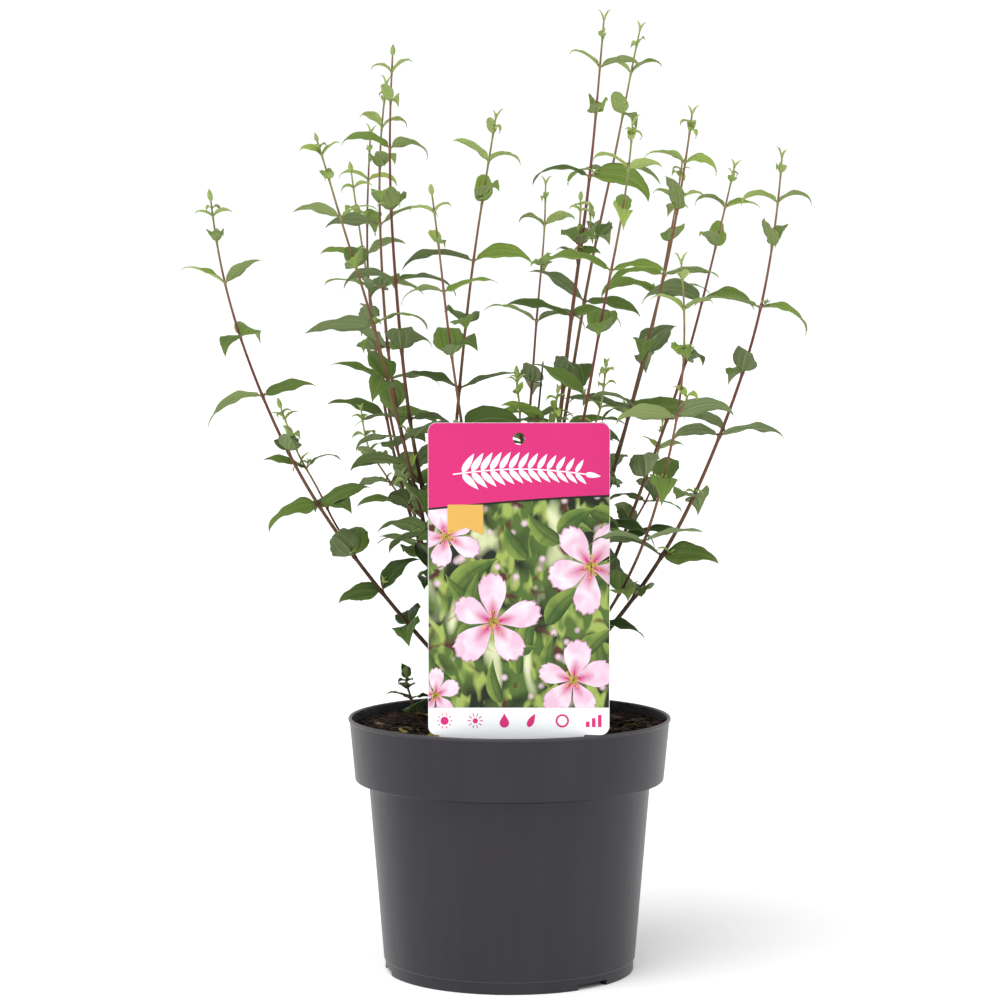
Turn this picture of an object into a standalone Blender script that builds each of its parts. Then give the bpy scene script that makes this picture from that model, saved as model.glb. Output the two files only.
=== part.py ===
"""Mock orange shrub in its nursery pot.

A young many-stemmed shrub: thin arching stems rise from one woody stool, each with opposite
pairs of pointed leaves, in a dark plastic pot filled with potting soil, with a picture card
standing inside the front of the rim.

Frame: metres, +Z up. The origin is on the pot's axis, in the plane that the pot stands on.
The front of the pot, where the card stands, faces -Y.
"""

import random
from dataclasses import dataclass, replace
from math import cos, degrees, pi, radians, sin

import bmesh
import bpy
from mathutils import Matrix, Vector
from mathutils.bvhtree import BVHTree

MM = 0.001
CLEAR = 0.3 * MM
MERGE = 0.00001
UP = Vector((0, 0, 1))

# Pot: 19 cm across the rim, 15 cm high, in one thin moulding.
POT_HEIGHT = 150 * MM
POT_WALL = 1.6 * MM
RIM_RADIUS = 95.0 * MM
RIM_LIP = 0.9 * MM
BAND_RADIUS = 91.0 * MM
BAND_HEIGHT = 37 * MM
SHOULDER_RADIUS = 82.9 * MM
SHOULDER_DROP = 2.5 * MM
LEDGE_SLOPE = 0.7 * MM
HEEL_RADIUS = 74.4 * MM
FOOT_RADIUS = 73.4 * MM
FOOT_HEIGHT = 7 * MM
FOOT_WIDTH = 5 * MM
FOOT_CHAMFER = 0.6 * MM
FLOOR_SLOPE = 1.5 * MM
FLOOR_LIFT = 6 * MM
FLOOR_THICK = 2 * MM
PAD_RADIUS = 10 * MM
PAD_SLOPE = 2 * MM
POT_STEPS = 48
FOOT_NOTCHES = 3
FOOT_NOTCH_SIZE = (22 * MM, 4.5 * MM)
FOOT_NOTCH_TURN = radians(311)
DRAIN_HOLES = 8
DRAIN_RADIUS = 4.5 * MM
DRAIN_RING = 56 * MM
DRAIN_SIDES = 8

# Potting soil: level round the plant, and banked up against the wall to just below the rim.
SOIL_TOP = 139 * MM
SOIL_RISE = 6 * MM
SOIL_BANK = ((0.60, 0.0), (0.80, 0.75), (1.0, 1.0))     # share of the radius, share of the rise

# Picture card, with a tongue pushed down between rim and soil. Its lower edge sags inside the rim.
CARD_SIZE = (102 * MM, 176 * MM)
CARD_THICK = 0.6 * MM
CARD_CORNER = 5 * MM
CARD_CENTRE_X = 5 * MM
CARD_FRONT = -81 * MM
CARD_HOLE_RADIUS = 3.4 * MM
CARD_HOLE_DROP = 9 * MM
CARD_SAG = 2.4 * MM
SAG_INSET = (7 * MM, 15 * MM)         # from the card's left and right edges
SAG_SLANT = 1 * MM
TONGUE_WIDTH = (42 * MM, 20 * MM)
TONGUE_DEPTH = 31 * MM
TONGUE_OFFSET = 10 * MM

# Woody stool that all the stems rise from.
STOOL_CENTRE = (-3 * MM, 0 * MM)
STOOL_HALF = (31 * MM, 23 * MM)
STOOL_FLARE = 6 * MM
STOOL_HEIGHT = 19.7 * MM
STOOL_LOBES = 7
STOOL_LOBE_DEPTH = (0.02, 0.10)       # everywhere, and besides at the foot
STOOL_LEVELS = (0.0, 0.12, 0.35, 0.70, 0.93, 1.0)
STOOL_SIDES = 21

# Stems and leaves.
STEM_START = 4 * MM
TIP_RADIUS = 0.5 * MM
TAPER = 0.9
TWIG_FATTEN = 1.25
LIMB_SPANS = 3
LIMB_CLEAR = 0.42 * MM
WOBBLE = 1.3 * MM
PATH_STEPS = 60
FIRST_PAIR = 0.26                     # the gap above the topmost pair, as a share of gap
YOUNG_GAP = (0.42, 0.24)              # the first gap's share, and what each gap below adds
LOW_GAP = (0.25, 0.72)                # how much of the stem is its low part, and the share there
YOUNG_LEAF = (0.36, 0.21)             # the topmost pair's share, and what each pair below adds
OLD_LEAF = (0.75, 0.86)               # from where down leaves are old, and their share
BUD_LEAF = 9 * MM
LEAF_WIDTH = (0.31, 0.44)
LEAF_ROLL = 38
LEAF_FOLD = 0.12
LEAF_MIN_THICK = 0.012
LEAF_STEPS = 25
ROOT_DEPTH = 0.4
LEAF_SECTIONS = ((0.24, 0.86), (0.60, 0.80))
SMALL_LEAF = 30 * MM
SMALL_LEAF_SECTIONS = ((0.38, 0.96),)
TURN_JITTER = 16
PAIR_JITTER = 12
DRIFT = 22
RISE = (14, 48)
DROOP = (30, 96)
AXIL_CHANCE = 0.08
AXIL_LENGTH = (14 * MM, 26 * MM)
AXIL_LEAN = 0.7
AXIL_ELBOW = (0.7, 0.4)
AXIL_GIRTH = 1.2
AXIL_LEAF = 0.9
SIDE_GIRTH = 1.5
SIDE_BARE = 16 * MM


@dataclass
class Stem:
    """One stem, in millimetres: where it starts and ends, and how it bends and bears leaves."""
    foot: tuple
    tip: tuple
    elbow: tuple          # share of the way out and up at which the stem turns upright
    girth: float          # diameter at the foot
    bare: float           # length below the first leaves
    gap: float            # longest distance between two leaf pairs
    leaf: float           # length of a full leaf
    turn: float           # compass turn of the topmost leaf pair, in degrees


STEMS = (
    Stem((-20, -5), (-171, -35, 452), (0.88, 0.45), 3.0, 52, 36, 38, 0),
    Stem((-27, -12), (-107, -85, 483), (0.56, 0.65), 2.8, 66, 34, 37, 0),
    Stem((-25, 12), (-97, 92, 474), (0.60, 0.35), 2.6, 60, 41, 36, 0),
    Stem((-17, 16), (-86, 115, 498), (1.20, 0.45), 2.8, 70, 42, 37, 90),
    Stem((-17, 3), (-73, 32, 522), (1.40, 0.55), 3.2, 64, 37, 38, 90),
    Stem((-11, -7), (-67, -30, 535), (1.20, 0.40), 3.4, 58, 40, 40, 0),
    Stem((-4, -17), (-43, -104, 453), (0.56, 0.50), 2.6, 74, 42, 40, 0),
    Stem((-31, -1), (-8, -45, 498), (-0.60, 0.35), 3.0, 62, 38, 42, 90),
    Stem((-4, 18), (23, 130, 468), (0.88, 0.70), 2.6, 72, 40, 36, 90),
    Stem((-2, -7), (19, -45, 360), (0.56, 0.60), 2.6, 60, 26, 32, 0),
    Stem((7, 1), (55, 5, 558), (0.64, 0.50), 4.0, 56, 41, 42, 90),
    Stem((5, 12), (79, 70, 558), (0.64, 0.70), 3.2, 66, 40, 38, 90),
    Stem((7, -15), (67, -105, 491), (0.96, 0.80), 2.8, 78, 37, 38, 90),
    Stem((15, -5), (105, -20, 502), (0.84, 0.60), 3.4, 60, 42, 41, 90),
    Stem((14, 11), (107, 105, 480), (0.84, 0.60), 2.8, 62, 38, 38, 90),
    Stem((17, -14), (93, -120, 415), (1.16, 0.40), 2.4, 64, 38, 38, 90),
    Stem((22, 8), (137, 75, 476), (0.56, 0.30), 3.0, 56, 38, 41, 90),
    Stem((24, -3), (156, -30, 477), (0.92, 0.40), 3.2, 50, 39, 40, 90),
)


@dataclass
class SideShoot:
    """A thinner shoot that leaves a stem part of the way up, in millimetres."""
    stem: int             # counted from 1
    start: float          # share of the stem's length at which it leaves
    tip: tuple
    elbow: tuple
    gap: float
    leaf: float
    turn: float


SIDE_SHOOTS = (
    SideShoot(1, 0.32, (-135, 10, 332), (0.60, 0.45), 30, 32, 10),
    SideShoot(5, 0.30, (-91, 86, 328), (0.90, 0.40), 26, 28, 50),
    SideShoot(10, 0.62, (4, -50, 352), (0.90, 0.50), 16, 22, 0),
    SideShoot(10, 0.62, (27, -64, 343), (0.90, 0.50), 16, 22, 30),
    SideShoot(11, 0.62, (41, -14, 453), (1.10, 0.40), 26, 20, 0),
    SideShoot(13, 0.38, (55, -40, 357), (0.80, 0.40), 18, 24, 40),
    SideShoot(17, 0.30, (95, 96, 320), (0.90, 0.40), 26, 30, 70),
)

# One weak shoot low on the left, beside the stool.
SUCKER = Stem((-47, 5), (-61, 8, 172), (0.95, 0.30), 1.8, 8, 10, 19, 30)
SUCKER_START = 1 * MM


def material(name, colour, roughness, metallic=0.0):
    """A plain Principled material."""
    made = bpy.data.materials.new(name)
    made.use_nodes = True
    shader = made.node_tree.nodes["Principled BSDF"]
    shader.inputs["Base Color"].default_value = (*colour, 1.0)
    shader.inputs["Roughness"].default_value = roughness
    shader.inputs["Metallic"].default_value = metallic
    made.diffuse_color = (*colour, 1.0)
    return made


def place(name, data, collection, finish=None):
    """Put mesh or curve data into the scene as one named object."""
    thing = bpy.data.objects.new(name, data)
    collection.objects.link(thing)
    if finish is not None:
        data.materials.append(finish)
    return thing


def hide_tool(thing):
    """Mark a cutter or guide, which isn't part of the object."""
    thing.hide_render = True
    thing.display_type = "WIRE"


def mesh_of(thing):
    """The evaluated mesh of an object, with its seams welded."""
    graph = bpy.context.evaluated_depsgraph_get()
    made = bpy.data.meshes.new_from_object(thing.evaluated_get(graph))
    work = bmesh.new()
    work.from_mesh(made)
    bmesh.ops.remove_doubles(work, verts=work.verts, dist=MERGE)
    bmesh.ops.recalc_face_normals(work, faces=work.faces)
    work.to_mesh(made)
    work.free()
    return made


def become_mesh(curve, collection, finish):
    """Replace a curve object by its welded mesh, in the same place and with the same name."""
    name = curve.name
    matrix = curve.matrix_world.copy()
    made = mesh_of(curve)
    bpy.data.objects.remove(curve)
    thing = place(name, made, collection, finish)
    thing.matrix_world = matrix
    return thing


def turned(name, profile, steps, collection, finish):
    """A solid of revolution about Z from (radius, height) points."""
    made = bpy.data.meshes.new(name)
    points = [(radius, 0, height) for radius, height in profile]
    edges = [(i, i + 1) for i in range(len(points) - 1)]
    made.from_pydata(points, edges, [])
    thing = place(name, made, collection, finish)
    screw = thing.modifiers.new("Turn", "SCREW")
    screw.steps = steps
    screw.render_steps = steps
    screw.use_merge_vertices = True
    screw.merge_threshold = MERGE
    return thing


def cut(thing, cutters, name):
    """Take every object of a collection away from a thing."""
    boolean = thing.modifiers.new(name, "BOOLEAN")
    boolean.operation = "DIFFERENCE"
    boolean.operand_type = "COLLECTION"
    boolean.collection = cutters
    boolean.solver = "EXACT"


def flat_outline(name, loops, thickness, collection, finish):
    """A thin plate from closed outlines in the XZ plane; the later loops are holes."""
    curve = bpy.data.curves.new(name, "CURVE")
    curve.dimensions = "2D"
    curve.fill_mode = "BOTH"
    curve.extrude = thickness / 2
    for loop in loops:
        spline = curve.splines.new("POLY")
        spline.points.add(len(loop) - 1)
        for point, (x, z) in zip(spline.points, loop):
            point.co = (x, z, 0, 1)
        spline.use_cyclic_u = True
    thing = place(name, curve, collection)
    thing.rotation_euler = (pi / 2, 0, 0)
    bpy.context.view_layer.update()
    return become_mesh(thing, collection, finish)


# Pot and soil

def pot_outer_profile():
    """The pot's outside from the top of the lip to the pad under its middle."""
    band_base = POT_HEIGHT - BAND_HEIGHT
    inner_foot = FOOT_RADIUS - FOOT_WIDTH
    return [
        (RIM_RADIUS - RIM_LIP, POT_HEIGHT),
        (RIM_RADIUS, POT_HEIGHT - RIM_LIP),
        (BAND_RADIUS, band_base),
        (SHOULDER_RADIUS, band_base - SHOULDER_DROP),
        (HEEL_RADIUS, FOOT_HEIGHT),
        (FOOT_RADIUS, FOOT_HEIGHT - FOOT_CHAMFER),
        (FOOT_RADIUS, 0),
        (inner_foot, 0),
        (inner_foot - FLOOR_SLOPE, FLOOR_LIFT),
        (PAD_RADIUS + PAD_SLOPE, FLOOR_LIFT),
        (PAD_RADIUS, 0),
        (0, 0),
    ]


def pot_inner_profile(grow=0.0):
    """The pot's inside from the middle of its floor up to the lip, drawn in by grow."""
    ledge = POT_HEIGHT - BAND_HEIGHT
    slack = POT_WALL + grow
    floor = FLOOR_LIFT + FLOOR_THICK + grow
    return [
        (0, floor),
        (HEEL_RADIUS - slack - FLOOR_SLOPE, floor),
        (SHOULDER_RADIUS - slack, ledge - SHOULDER_DROP + grow),
        (BAND_RADIUS - slack, ledge + LEDGE_SLOPE + grow),
        (RIM_RADIUS - slack, POT_HEIGHT),
    ]


def build_pot(collection, cutters, finish):
    pot = turned("pot", pot_inner_profile() + pot_outer_profile(), POT_STEPS, collection, finish)
    drains = bpy.data.collections.new("drain cutters")
    cutters.children.link(drains)
    width, height = FOOT_NOTCH_SIZE
    for index in range(FOOT_NOTCHES):
        turn = FOOT_NOTCH_TURN + index * 2 * pi / FOOT_NOTCHES
        middle = FOOT_RADIUS - FOOT_WIDTH / 2
        bpy.ops.mesh.primitive_cube_add(size=1)
        notch = bpy.context.object
        notch.name = f"foot notch {index + 1}"
        notch.data.transform(Matrix.Diagonal((4 * FOOT_WIDTH, width, 2 * height, 1)))
        notch.matrix_world = Matrix.Rotation(turn, 4, "Z") @ Matrix.Translation((middle, 0, 0))
        move_to(notch, drains)
    for index in range(DRAIN_HOLES):
        turn = index * 2 * pi / DRAIN_HOLES
        bpy.ops.mesh.primitive_cylinder_add(vertices=DRAIN_SIDES, radius=DRAIN_RADIUS, depth=20 * MM)
        hole = bpy.context.object
        hole.name = f"drain hole {index + 1}"
        hole.location = (DRAIN_RING * cos(turn), DRAIN_RING * sin(turn), FLOOR_LIFT)
        move_to(hole, drains)
    cut(pot, drains, "Drain cuts")
    return pot


def move_to(thing, collection):
    """Take a new primitive out of its collection and file it as a cutter."""
    for home in list(thing.users_collection):
        home.objects.unlink(thing)
    collection.objects.link(thing)
    hide_tool(thing)


def build_soil(collection, cutters, finish):
    """Soil that fills the pot, a little higher along the wall than in the middle."""
    side = pot_inner_profile(CLEAR)
    share = (SOIL_TOP + SOIL_RISE - side[3][1]) / (side[4][1] - side[3][1])
    edge = side[3][0] + share * (side[4][0] - side[3][0]) - CLEAR
    top = [(0, SOIL_TOP)]
    top += [(out * edge, SOIL_TOP + up * SOIL_RISE) for out, up in SOIL_BANK]
    soil = turned("soil", top + side[3::-1], POT_STEPS, collection, finish)
    slots = bpy.data.collections.new("soil cutters")
    cutters.children.link(slots)
    slot = flat_outline("card slot", [tongue_outline(CLEAR)], CARD_THICK + 2 * CLEAR, slots, None)
    slot.location.y = CARD_FRONT + CARD_THICK / 2
    hide_tool(slot)
    cut(soil, slots, "Card slot")
    return soil


# Picture card

def tongue_outline(grow=0.0):
    """The card's tongue below the sagging edge as four corners in XZ, grown on all sides."""
    centre = CARD_CENTRE_X + TONGUE_OFFSET
    top = POT_HEIGHT + CLEAR - CARD_SAG
    bottom = top - TONGUE_DEPTH
    wide, narrow = (width / 2 + grow for width in TONGUE_WIDTH)
    return [
        (centre - narrow, bottom - grow),
        (centre + narrow, bottom - grow),
        (centre + wide, top),
        (centre - wide, top),
    ]


def card_outline(corner_steps=4):
    """The card with round corners, sagging edge and tongue, counter-clockwise from the edge."""
    half = CARD_SIZE[0] / 2 - CARD_CORNER
    edge = POT_HEIGHT + CLEAR
    low = edge + CARD_CORNER
    high = POT_HEIGHT + CLEAR + CARD_SIZE[1] - CARD_CORNER
    corners = ((half, low, -90), (half, high, 0), (-half, high, 90), (-half, low, 180))
    outline = []
    for x, z, first in corners:
        for step in range(corner_steps + 1):
            turn = radians(first + 90 * step / corner_steps)
            corner_x = CARD_CENTRE_X + x + CARD_CORNER * cos(turn)
            outline.append((corner_x, z + CARD_CORNER * sin(turn)))
    tongue = tongue_outline()
    left = CARD_CENTRE_X - CARD_SIZE[0] / 2 + SAG_INSET[0]
    right = CARD_CENTRE_X + CARD_SIZE[0] / 2 - SAG_INSET[1]
    sag = [(left - SAG_SLANT, edge), (left, edge - CARD_SAG), tongue[3], tongue[0], tongue[1],
           tongue[2], (right, edge - CARD_SAG), (right + SAG_SLANT, edge)]
    return sag + outline


def build_card(collection, finish):
    centre_z = POT_HEIGHT + CLEAR + CARD_SIZE[1] - CARD_HOLE_DROP
    hole = []
    for step in range(16):
        turn = -step * 2 * pi / 16
        x = CARD_CENTRE_X + CARD_HOLE_RADIUS * cos(turn)
        hole.append((x, centre_z + CARD_HOLE_RADIUS * sin(turn)))
    card = flat_outline("card", [card_outline(), hole], CARD_THICK, collection, finish)
    card.location.y = CARD_FRONT + CARD_THICK / 2
    return card


# Woody stool

def stool_edge(turn, height):
    """The stool's outline at one height: lobed roots low down, nearly an ellipse on top."""
    share = height / STOOL_HEIGHT
    flare = STOOL_FLARE * (1 - share) ** 2
    everywhere, foot = STOOL_LOBE_DEPTH
    lobes = 1 + (everywhere + foot * (1 - share)) * cos(STOOL_LOBES * turn + 0.7 * sin(turn))
    round_off = 1 - 0.05 * share ** 4
    x = (STOOL_HALF[0] + flare) * lobes * round_off * cos(turn)
    y = (STOOL_HALF[1] + flare) * lobes * round_off * sin(turn)
    return STOOL_CENTRE[0] + x, STOOL_CENTRE[1] + y


def build_stool(collection, finish):
    """A lofted stump with a flat cut at soil level and a flat top for the stems."""
    base = SOIL_TOP + CLEAR
    work = bmesh.new()
    rings = []
    for share in STOOL_LEVELS:
        ring = []
        for side in range(STOOL_SIDES):
            x, y = stool_edge(2 * pi * side / STOOL_SIDES, share * STOOL_HEIGHT)
            ring.append(work.verts.new((x, y, base + share * STOOL_HEIGHT)))
        rings.append(ring)
    for lower, upper in zip(rings, rings[1:]):
        bmesh.ops.bridge_loops(work, edges=ring_edges(work, lower) + ring_edges(work, upper))
    work.faces.new(list(reversed(rings[0])))
    work.faces.new(rings[-1])
    bmesh.ops.recalc_face_normals(work, faces=work.faces)
    made = bpy.data.meshes.new("stool")
    work.to_mesh(made)
    work.free()
    return place("stool", made, collection, finish)


def ring_edges(work, ring):
    """The edges round a ring of vertices, made where they are missing."""
    edges = []
    for a, b in zip(ring, ring[1:] + ring[:1]):
        found = work.edges.get((a, b))
        edges.append(found or work.edges.new((a, b)))
    return edges


# Stems: paths and tubes

class Path:
    """A stem line that can be read at any length along it."""

    def __init__(self, points):
        self.points = points
        self.lengths = [0.0]
        for a, b in zip(points, points[1:]):
            self.lengths.append(self.lengths[-1] + (b - a).length)
        self.length = self.lengths[-1]

    def at(self, distance):
        """The point and the direction at a distance from the foot."""
        last = len(self.points) - 2
        index = 0
        while index < last and self.lengths[index + 1] < distance:
            index += 1
        a, b = self.points[index], self.points[index + 1]
        share = (distance - self.lengths[index]) / (b - a).length
        return a.lerp(b, share), (b - a).normalized()


def bent_path(foot, tip, elbow, start, seed):
    """A path that sets off by start, turns at its elbow and sways a little on its way."""
    draw = random.Random(seed)
    phases = [draw.uniform(0, 2 * pi) for _ in range(4)]
    out, up = elbow
    first = foot + start
    bend = first + Vector(((tip.x - first.x) * out, (tip.y - first.y) * out, 0))
    bend.z = first.z + (tip.z - first.z) * up
    points = [foot]
    for step in range(PATH_STEPS + 1):
        t = step / PATH_STEPS
        point = first * (1 - t) ** 2 + bend * 2 * t * (1 - t) + tip * t * t
        sway = WOBBLE * sin(pi * t)
        point.x += sway * (0.6 * sin(5 * t + phases[0]) + 0.4 * sin(13 * t + phases[1]))
        point.y += sway * (0.6 * sin(5 * t + phases[2]) + 0.4 * sin(13 * t + phases[3]))
        points.append(point)
    return Path(points)


def stem_path(stem, start, floor, seed):
    foot = Vector((stem.foot[0] * MM, stem.foot[1] * MM, floor))
    tip = Vector(stem.tip) * MM
    return bent_path(foot, tip, stem.elbow, start, seed)


def radius_along(girth, path, distance):
    """Half the stem's thickness: it tapers evenly towards a thin tip."""
    share = min(distance / path.length, 1)
    return TIP_RADIUS + (girth * MM / 2 - TIP_RADIUS) * (1 - share) ** TAPER


def tube(name, points, radii, sides, collection, section=None):
    """A tapering tube along points, round or with the section of another curve."""
    curve = bpy.data.curves.new(name, "CURVE")
    curve.dimensions = "3D"
    curve.use_fill_caps = True
    if section is None:
        curve.bevel_depth = MM
        curve.bevel_resolution = (sides - 4) // 2
    else:
        curve.bevel_mode = "OBJECT"
        curve.bevel_object = section
    spline = curve.splines.new("POLY")
    spline.points.add(len(points) - 1)
    for spot, point, radius in zip(spline.points, points, radii):
        spot.co = (*point, 1)
        spot.radius = radius / MM
    return place(name, curve, collection)


def three_sided_section(collection):
    """A triangle, 1 mm from centre to corner, that thin twigs take as their section."""
    curve = bpy.data.curves.new("three-sided section", "CURVE")
    spline = curve.splines.new("POLY")
    spline.points.add(2)
    for index, point in enumerate(spline.points):
        turn = index * 2 * pi / 3
        point.co = (MM * cos(turn), MM * sin(turn), 0, 1)
    spline.use_cyclic_u = True
    guide = place("three-sided section", curve, collection)
    hide_tool(guide)
    return guide


# Leaves

@dataclass
class Leaf:
    """Where one leaf grows and how it bends, in metres and radians."""
    root: Vector
    out: Vector           # level way out from the stem
    up: Vector
    length: float
    rise: float           # how steeply it leaves the stem
    droop: float          # how far it bends down towards its tip
    drift: float          # how far it swings sideways
    roll: float           # how far the blade is turned about its midrib
    broad: float          # width as a share of the length
    thick: float          # radius of the stem it is rooted in

    def line(self, steps):
        """Points and directions along the midrib."""
        point = self.root.copy()
        side = self.up.cross(self.out)
        spots = []
        for step in range(steps + 1):
            t = step / steps
            lift = self.rise - self.droop * t ** 1.15
            swing = self.drift * t
            level = self.out * cos(swing) + side * sin(swing)
            way = level * cos(lift) + self.up * sin(lift)
            spots.append((point.copy(), way))
            point = point + way * (self.length / steps)
        return spots


def leaf_solid(leaf, grow=0.0):
    """Corners and triangles of a keeled blade, bent once or twice between root and tip."""
    spots = leaf.line(LEAF_STEPS)
    half = leaf.length * leaf.broad / 2
    corners = [leaf.root - leaf.out * ROOT_DEPTH * leaf.thick]
    for share, width in SMALL_LEAF_SECTIONS if leaf.length < SMALL_LEAF else LEAF_SECTIONS:
        point, way = spots[round(share * LEAF_STEPS)]
        across = Matrix.Rotation(leaf.roll, 3, way) @ way.cross(leaf.up).normalized()
        normal = across.cross(way).normalized()
        deep = max(2 * half * LEAF_FOLD * width, leaf.length * LEAF_MIN_THICK) / 2 + grow
        wide = half * width + grow
        corners.append(point + across * wide + normal * deep)
        corners.append(point - across * wide + normal * deep)
        corners.append(point - normal * deep)
    tip, way = spots[-1]
    corners.append(tip + way * grow)
    sides = ((0, 1), (1, 2), (2, 0))
    last = len(corners) - 4
    faces = [(0, 1 + a, 1 + b) for a, b in sides]
    for low in range(1, last, 3):
        for a, b in sides:
            faces.append((low + b, low + a, low + 3 + a))
            faces.append((low + b, low + 3 + a, low + 3 + b))
    for a, b in sides:
        faces.append((last + b, last + a, last + 3))
    return corners, faces


class Space:
    """What already stands in the air, so that no leaf is laid through it."""

    def __init__(self):
        self.things = []

    def add(self, owner, corners, faces):
        tree = BVHTree.FromPolygons(corners, faces)
        self.things.append((owner, *self.box(corners), tree))

    def add_mesh(self, owner, mesh, matrix):
        corners = [matrix @ vertex.co for vertex in mesh.vertices]
        self.add(owner, corners, [tuple(face.vertices) for face in mesh.polygons])

    @staticmethod
    def box(corners):
        low = Vector([min(corner[axis] for corner in corners) for axis in range(3)])
        high = Vector([max(corner[axis] for corner in corners) for axis in range(3)])
        return low, high

    def is_free(self, owner, corners, faces):
        low, high = self.box(corners)
        tree = None
        for other, other_low, other_high, other_tree in self.things:
            if other == owner:
                continue
            if any(low[i] > other_high[i] or high[i] < other_low[i] for i in range(3)):
                continue
            tree = tree or BVHTree.FromPolygons(corners, faces)
            if tree.overlap(other_tree):
                return False
        return True


def node_distances(path, bare, gap):
    """Distances of the leaf pairs from the foot: close at the tip and low down, wide between."""
    spots = []
    back = FIRST_PAIR * gap
    low = bare + LOW_GAP[0] * (path.length - bare)
    while path.length - back > bare:
        spots.append(path.length - back)
        stretch = min(1.0, YOUNG_GAP[0] + YOUNG_GAP[1] * (len(spots) - 1))
        if spots[-1] < low:
            stretch = LOW_GAP[1]
        back += gap * stretch
    return spots


def leaf_share(index, count):
    """Leaf length as a share of a full leaf, by its place below the tip."""
    young = min(1.0, YOUNG_LEAF[0] + YOUNG_LEAF[1] * index)
    old = OLD_LEAF[1] if index > OLD_LEAF[0] * count else 1.0
    return young * old


def leaves_on(twig, size, turn, draw):
    """Opposite leaf pairs up one twig, each pair a quarter turn from the last."""
    leaves = []
    for index, distance in enumerate(twig.nodes):
        point, way = twig.spine(distance)
        share = leaf_share(index, len(twig.nodes))
        base_turn = radians(turn + 90 * index + draw.uniform(-TURN_JITTER, TURN_JITTER))
        for side in (0, pi):
            heading = base_turn + side + radians(draw.uniform(-PAIR_JITTER, PAIR_JITTER))
            level = Vector((cos(heading), sin(heading), 0))
            up = (way + UP).normalized()
            young = max(0.0, 1 - index / 3)
            narrow, wide = LEAF_WIDTH
            leaves.append(Leaf(
                root=point,
                out=(level - up * level.dot(up)).normalized(),
                up=up,
                length=size * MM * share * draw.uniform(0.84, 1.14),
                rise=radians(draw.uniform(*RISE) + 16 * young),
                droop=radians(draw.uniform(*DROOP) * (1 + 0.25 * young)),
                drift=radians(draw.uniform(-DRIFT, DRIFT)),
                roll=radians(draw.uniform(-LEAF_ROLL, LEAF_ROLL)),
                broad=narrow + (wide - narrow) * index / len(twig.nodes),
                thick=radius_along(twig.girth, twig.path, distance),
            ))
    return leaves


def bud_leaves(twig, turn, draw):
    """The folded young pair at a stem's tip."""
    point, way = twig.spine(twig.path.length - 1.2 * MM)
    leaves = []
    for side in (0, pi):
        heading = radians(turn + 90) + side
        level = Vector((cos(heading), sin(heading), 0))
        out = (level - way * level.dot(way)).normalized()
        length = BUD_LEAF * draw.uniform(0.8, 1.2)
        rise = radians(draw.uniform(72, 82))
        leaves.append(Leaf(point, out, way, length, rise, droop=radians(20), drift=0.0, roll=0.0,
                           broad=LEAF_WIDTH[0], thick=TIP_RADIUS))
    return leaves


# Shoots: a leafy twig with its side shoots, fused into one solid

class Twig:
    """A leaf-bearing length of stem: straight from the middle of one internode to the next."""

    def __init__(self, path, girth, start, nodes):
        self.path = path
        self.girth = girth
        self.nodes = nodes
        rising = sorted(nodes)
        middles = [(low + high) / 2 for low, high in zip(rising, rising[1:])]
        self.stops = [start, *middles, path.length]
        self.points = [path.at(stop)[0] for stop in self.stops]
        self.radii = [radius_along(girth, path, stop) for stop in self.stops]
        self.leaves = []

    def spine(self, distance):
        """The point on the twig's own straight lengths at a distance up the path."""
        index = 0
        while index < len(self.stops) - 2 and self.stops[index + 1] < distance:
            index += 1
        low, high = self.stops[index], self.stops[index + 1]
        a, b = self.points[index], self.points[index + 1]
        return a.lerp(b, (distance - low) / (high - low)), (b - a).normalized()


def grow_twig(path, girth, start, bare, gap, size, turn, draw):
    twig = Twig(path, girth, start, node_distances(path, bare, gap))
    twig.leaves = bud_leaves(twig, turn, draw) + leaves_on(twig, size, turn, draw)
    return twig


def axil_twigs(parent, size, draw):
    """Short new growth, with one leaf pair, in some of the lower leaf axils."""
    twigs = []
    for distance in parent.nodes[3:]:
        chance = draw.random()
        heading = draw.uniform(0, 2 * pi)
        length = draw.uniform(*AXIL_LENGTH)
        seed = draw.random()
        if chance > AXIL_CHANCE:
            continue
        point, way = parent.spine(distance)
        lean = Vector((cos(heading), sin(heading), 0)) * AXIL_LEAN
        tip = point + (UP + lean).normalized() * length
        path = bent_path(point, tip, AXIL_ELBOW, way * 0.1 * MM, seed)
        twig = Twig(path, AXIL_GIRTH, 0, [path.length - 1.5 * MM])
        twig.leaves = leaves_on(twig, AXIL_LEAF * size, degrees(heading), random.Random(seed))
        twigs.append(twig)
    return twigs


def side_twig(parent, shoot, seed):
    """A longer side shoot that leaves its stem at a given share of the way up."""
    point, way = parent.spine(parent.path.length * shoot.start)
    path = bent_path(point, Vector(shoot.tip) * MM, shoot.elbow, way * 1.0 * MM, seed)
    draw = random.Random(seed)
    return grow_twig(path, SIDE_GIRTH, 0, SIDE_BARE, shoot.gap * MM, shoot.leaf, shoot.turn, draw)


def twig_curve(name, twig, section, collection):
    """A twig's own thin three-sided tube."""
    radii = [TWIG_FATTEN * radius for radius in twig.radii]
    return tube(name, twig.points, radii, 0, collection, section)


def triangulated(thing):
    """Split an object's faces into triangles, so that joining it is exact."""
    work = bmesh.new()
    work.from_mesh(thing.data)
    bmesh.ops.triangulate(work, faces=work.faces)
    work.to_mesh(thing.data)
    work.free()
    return thing


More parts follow.
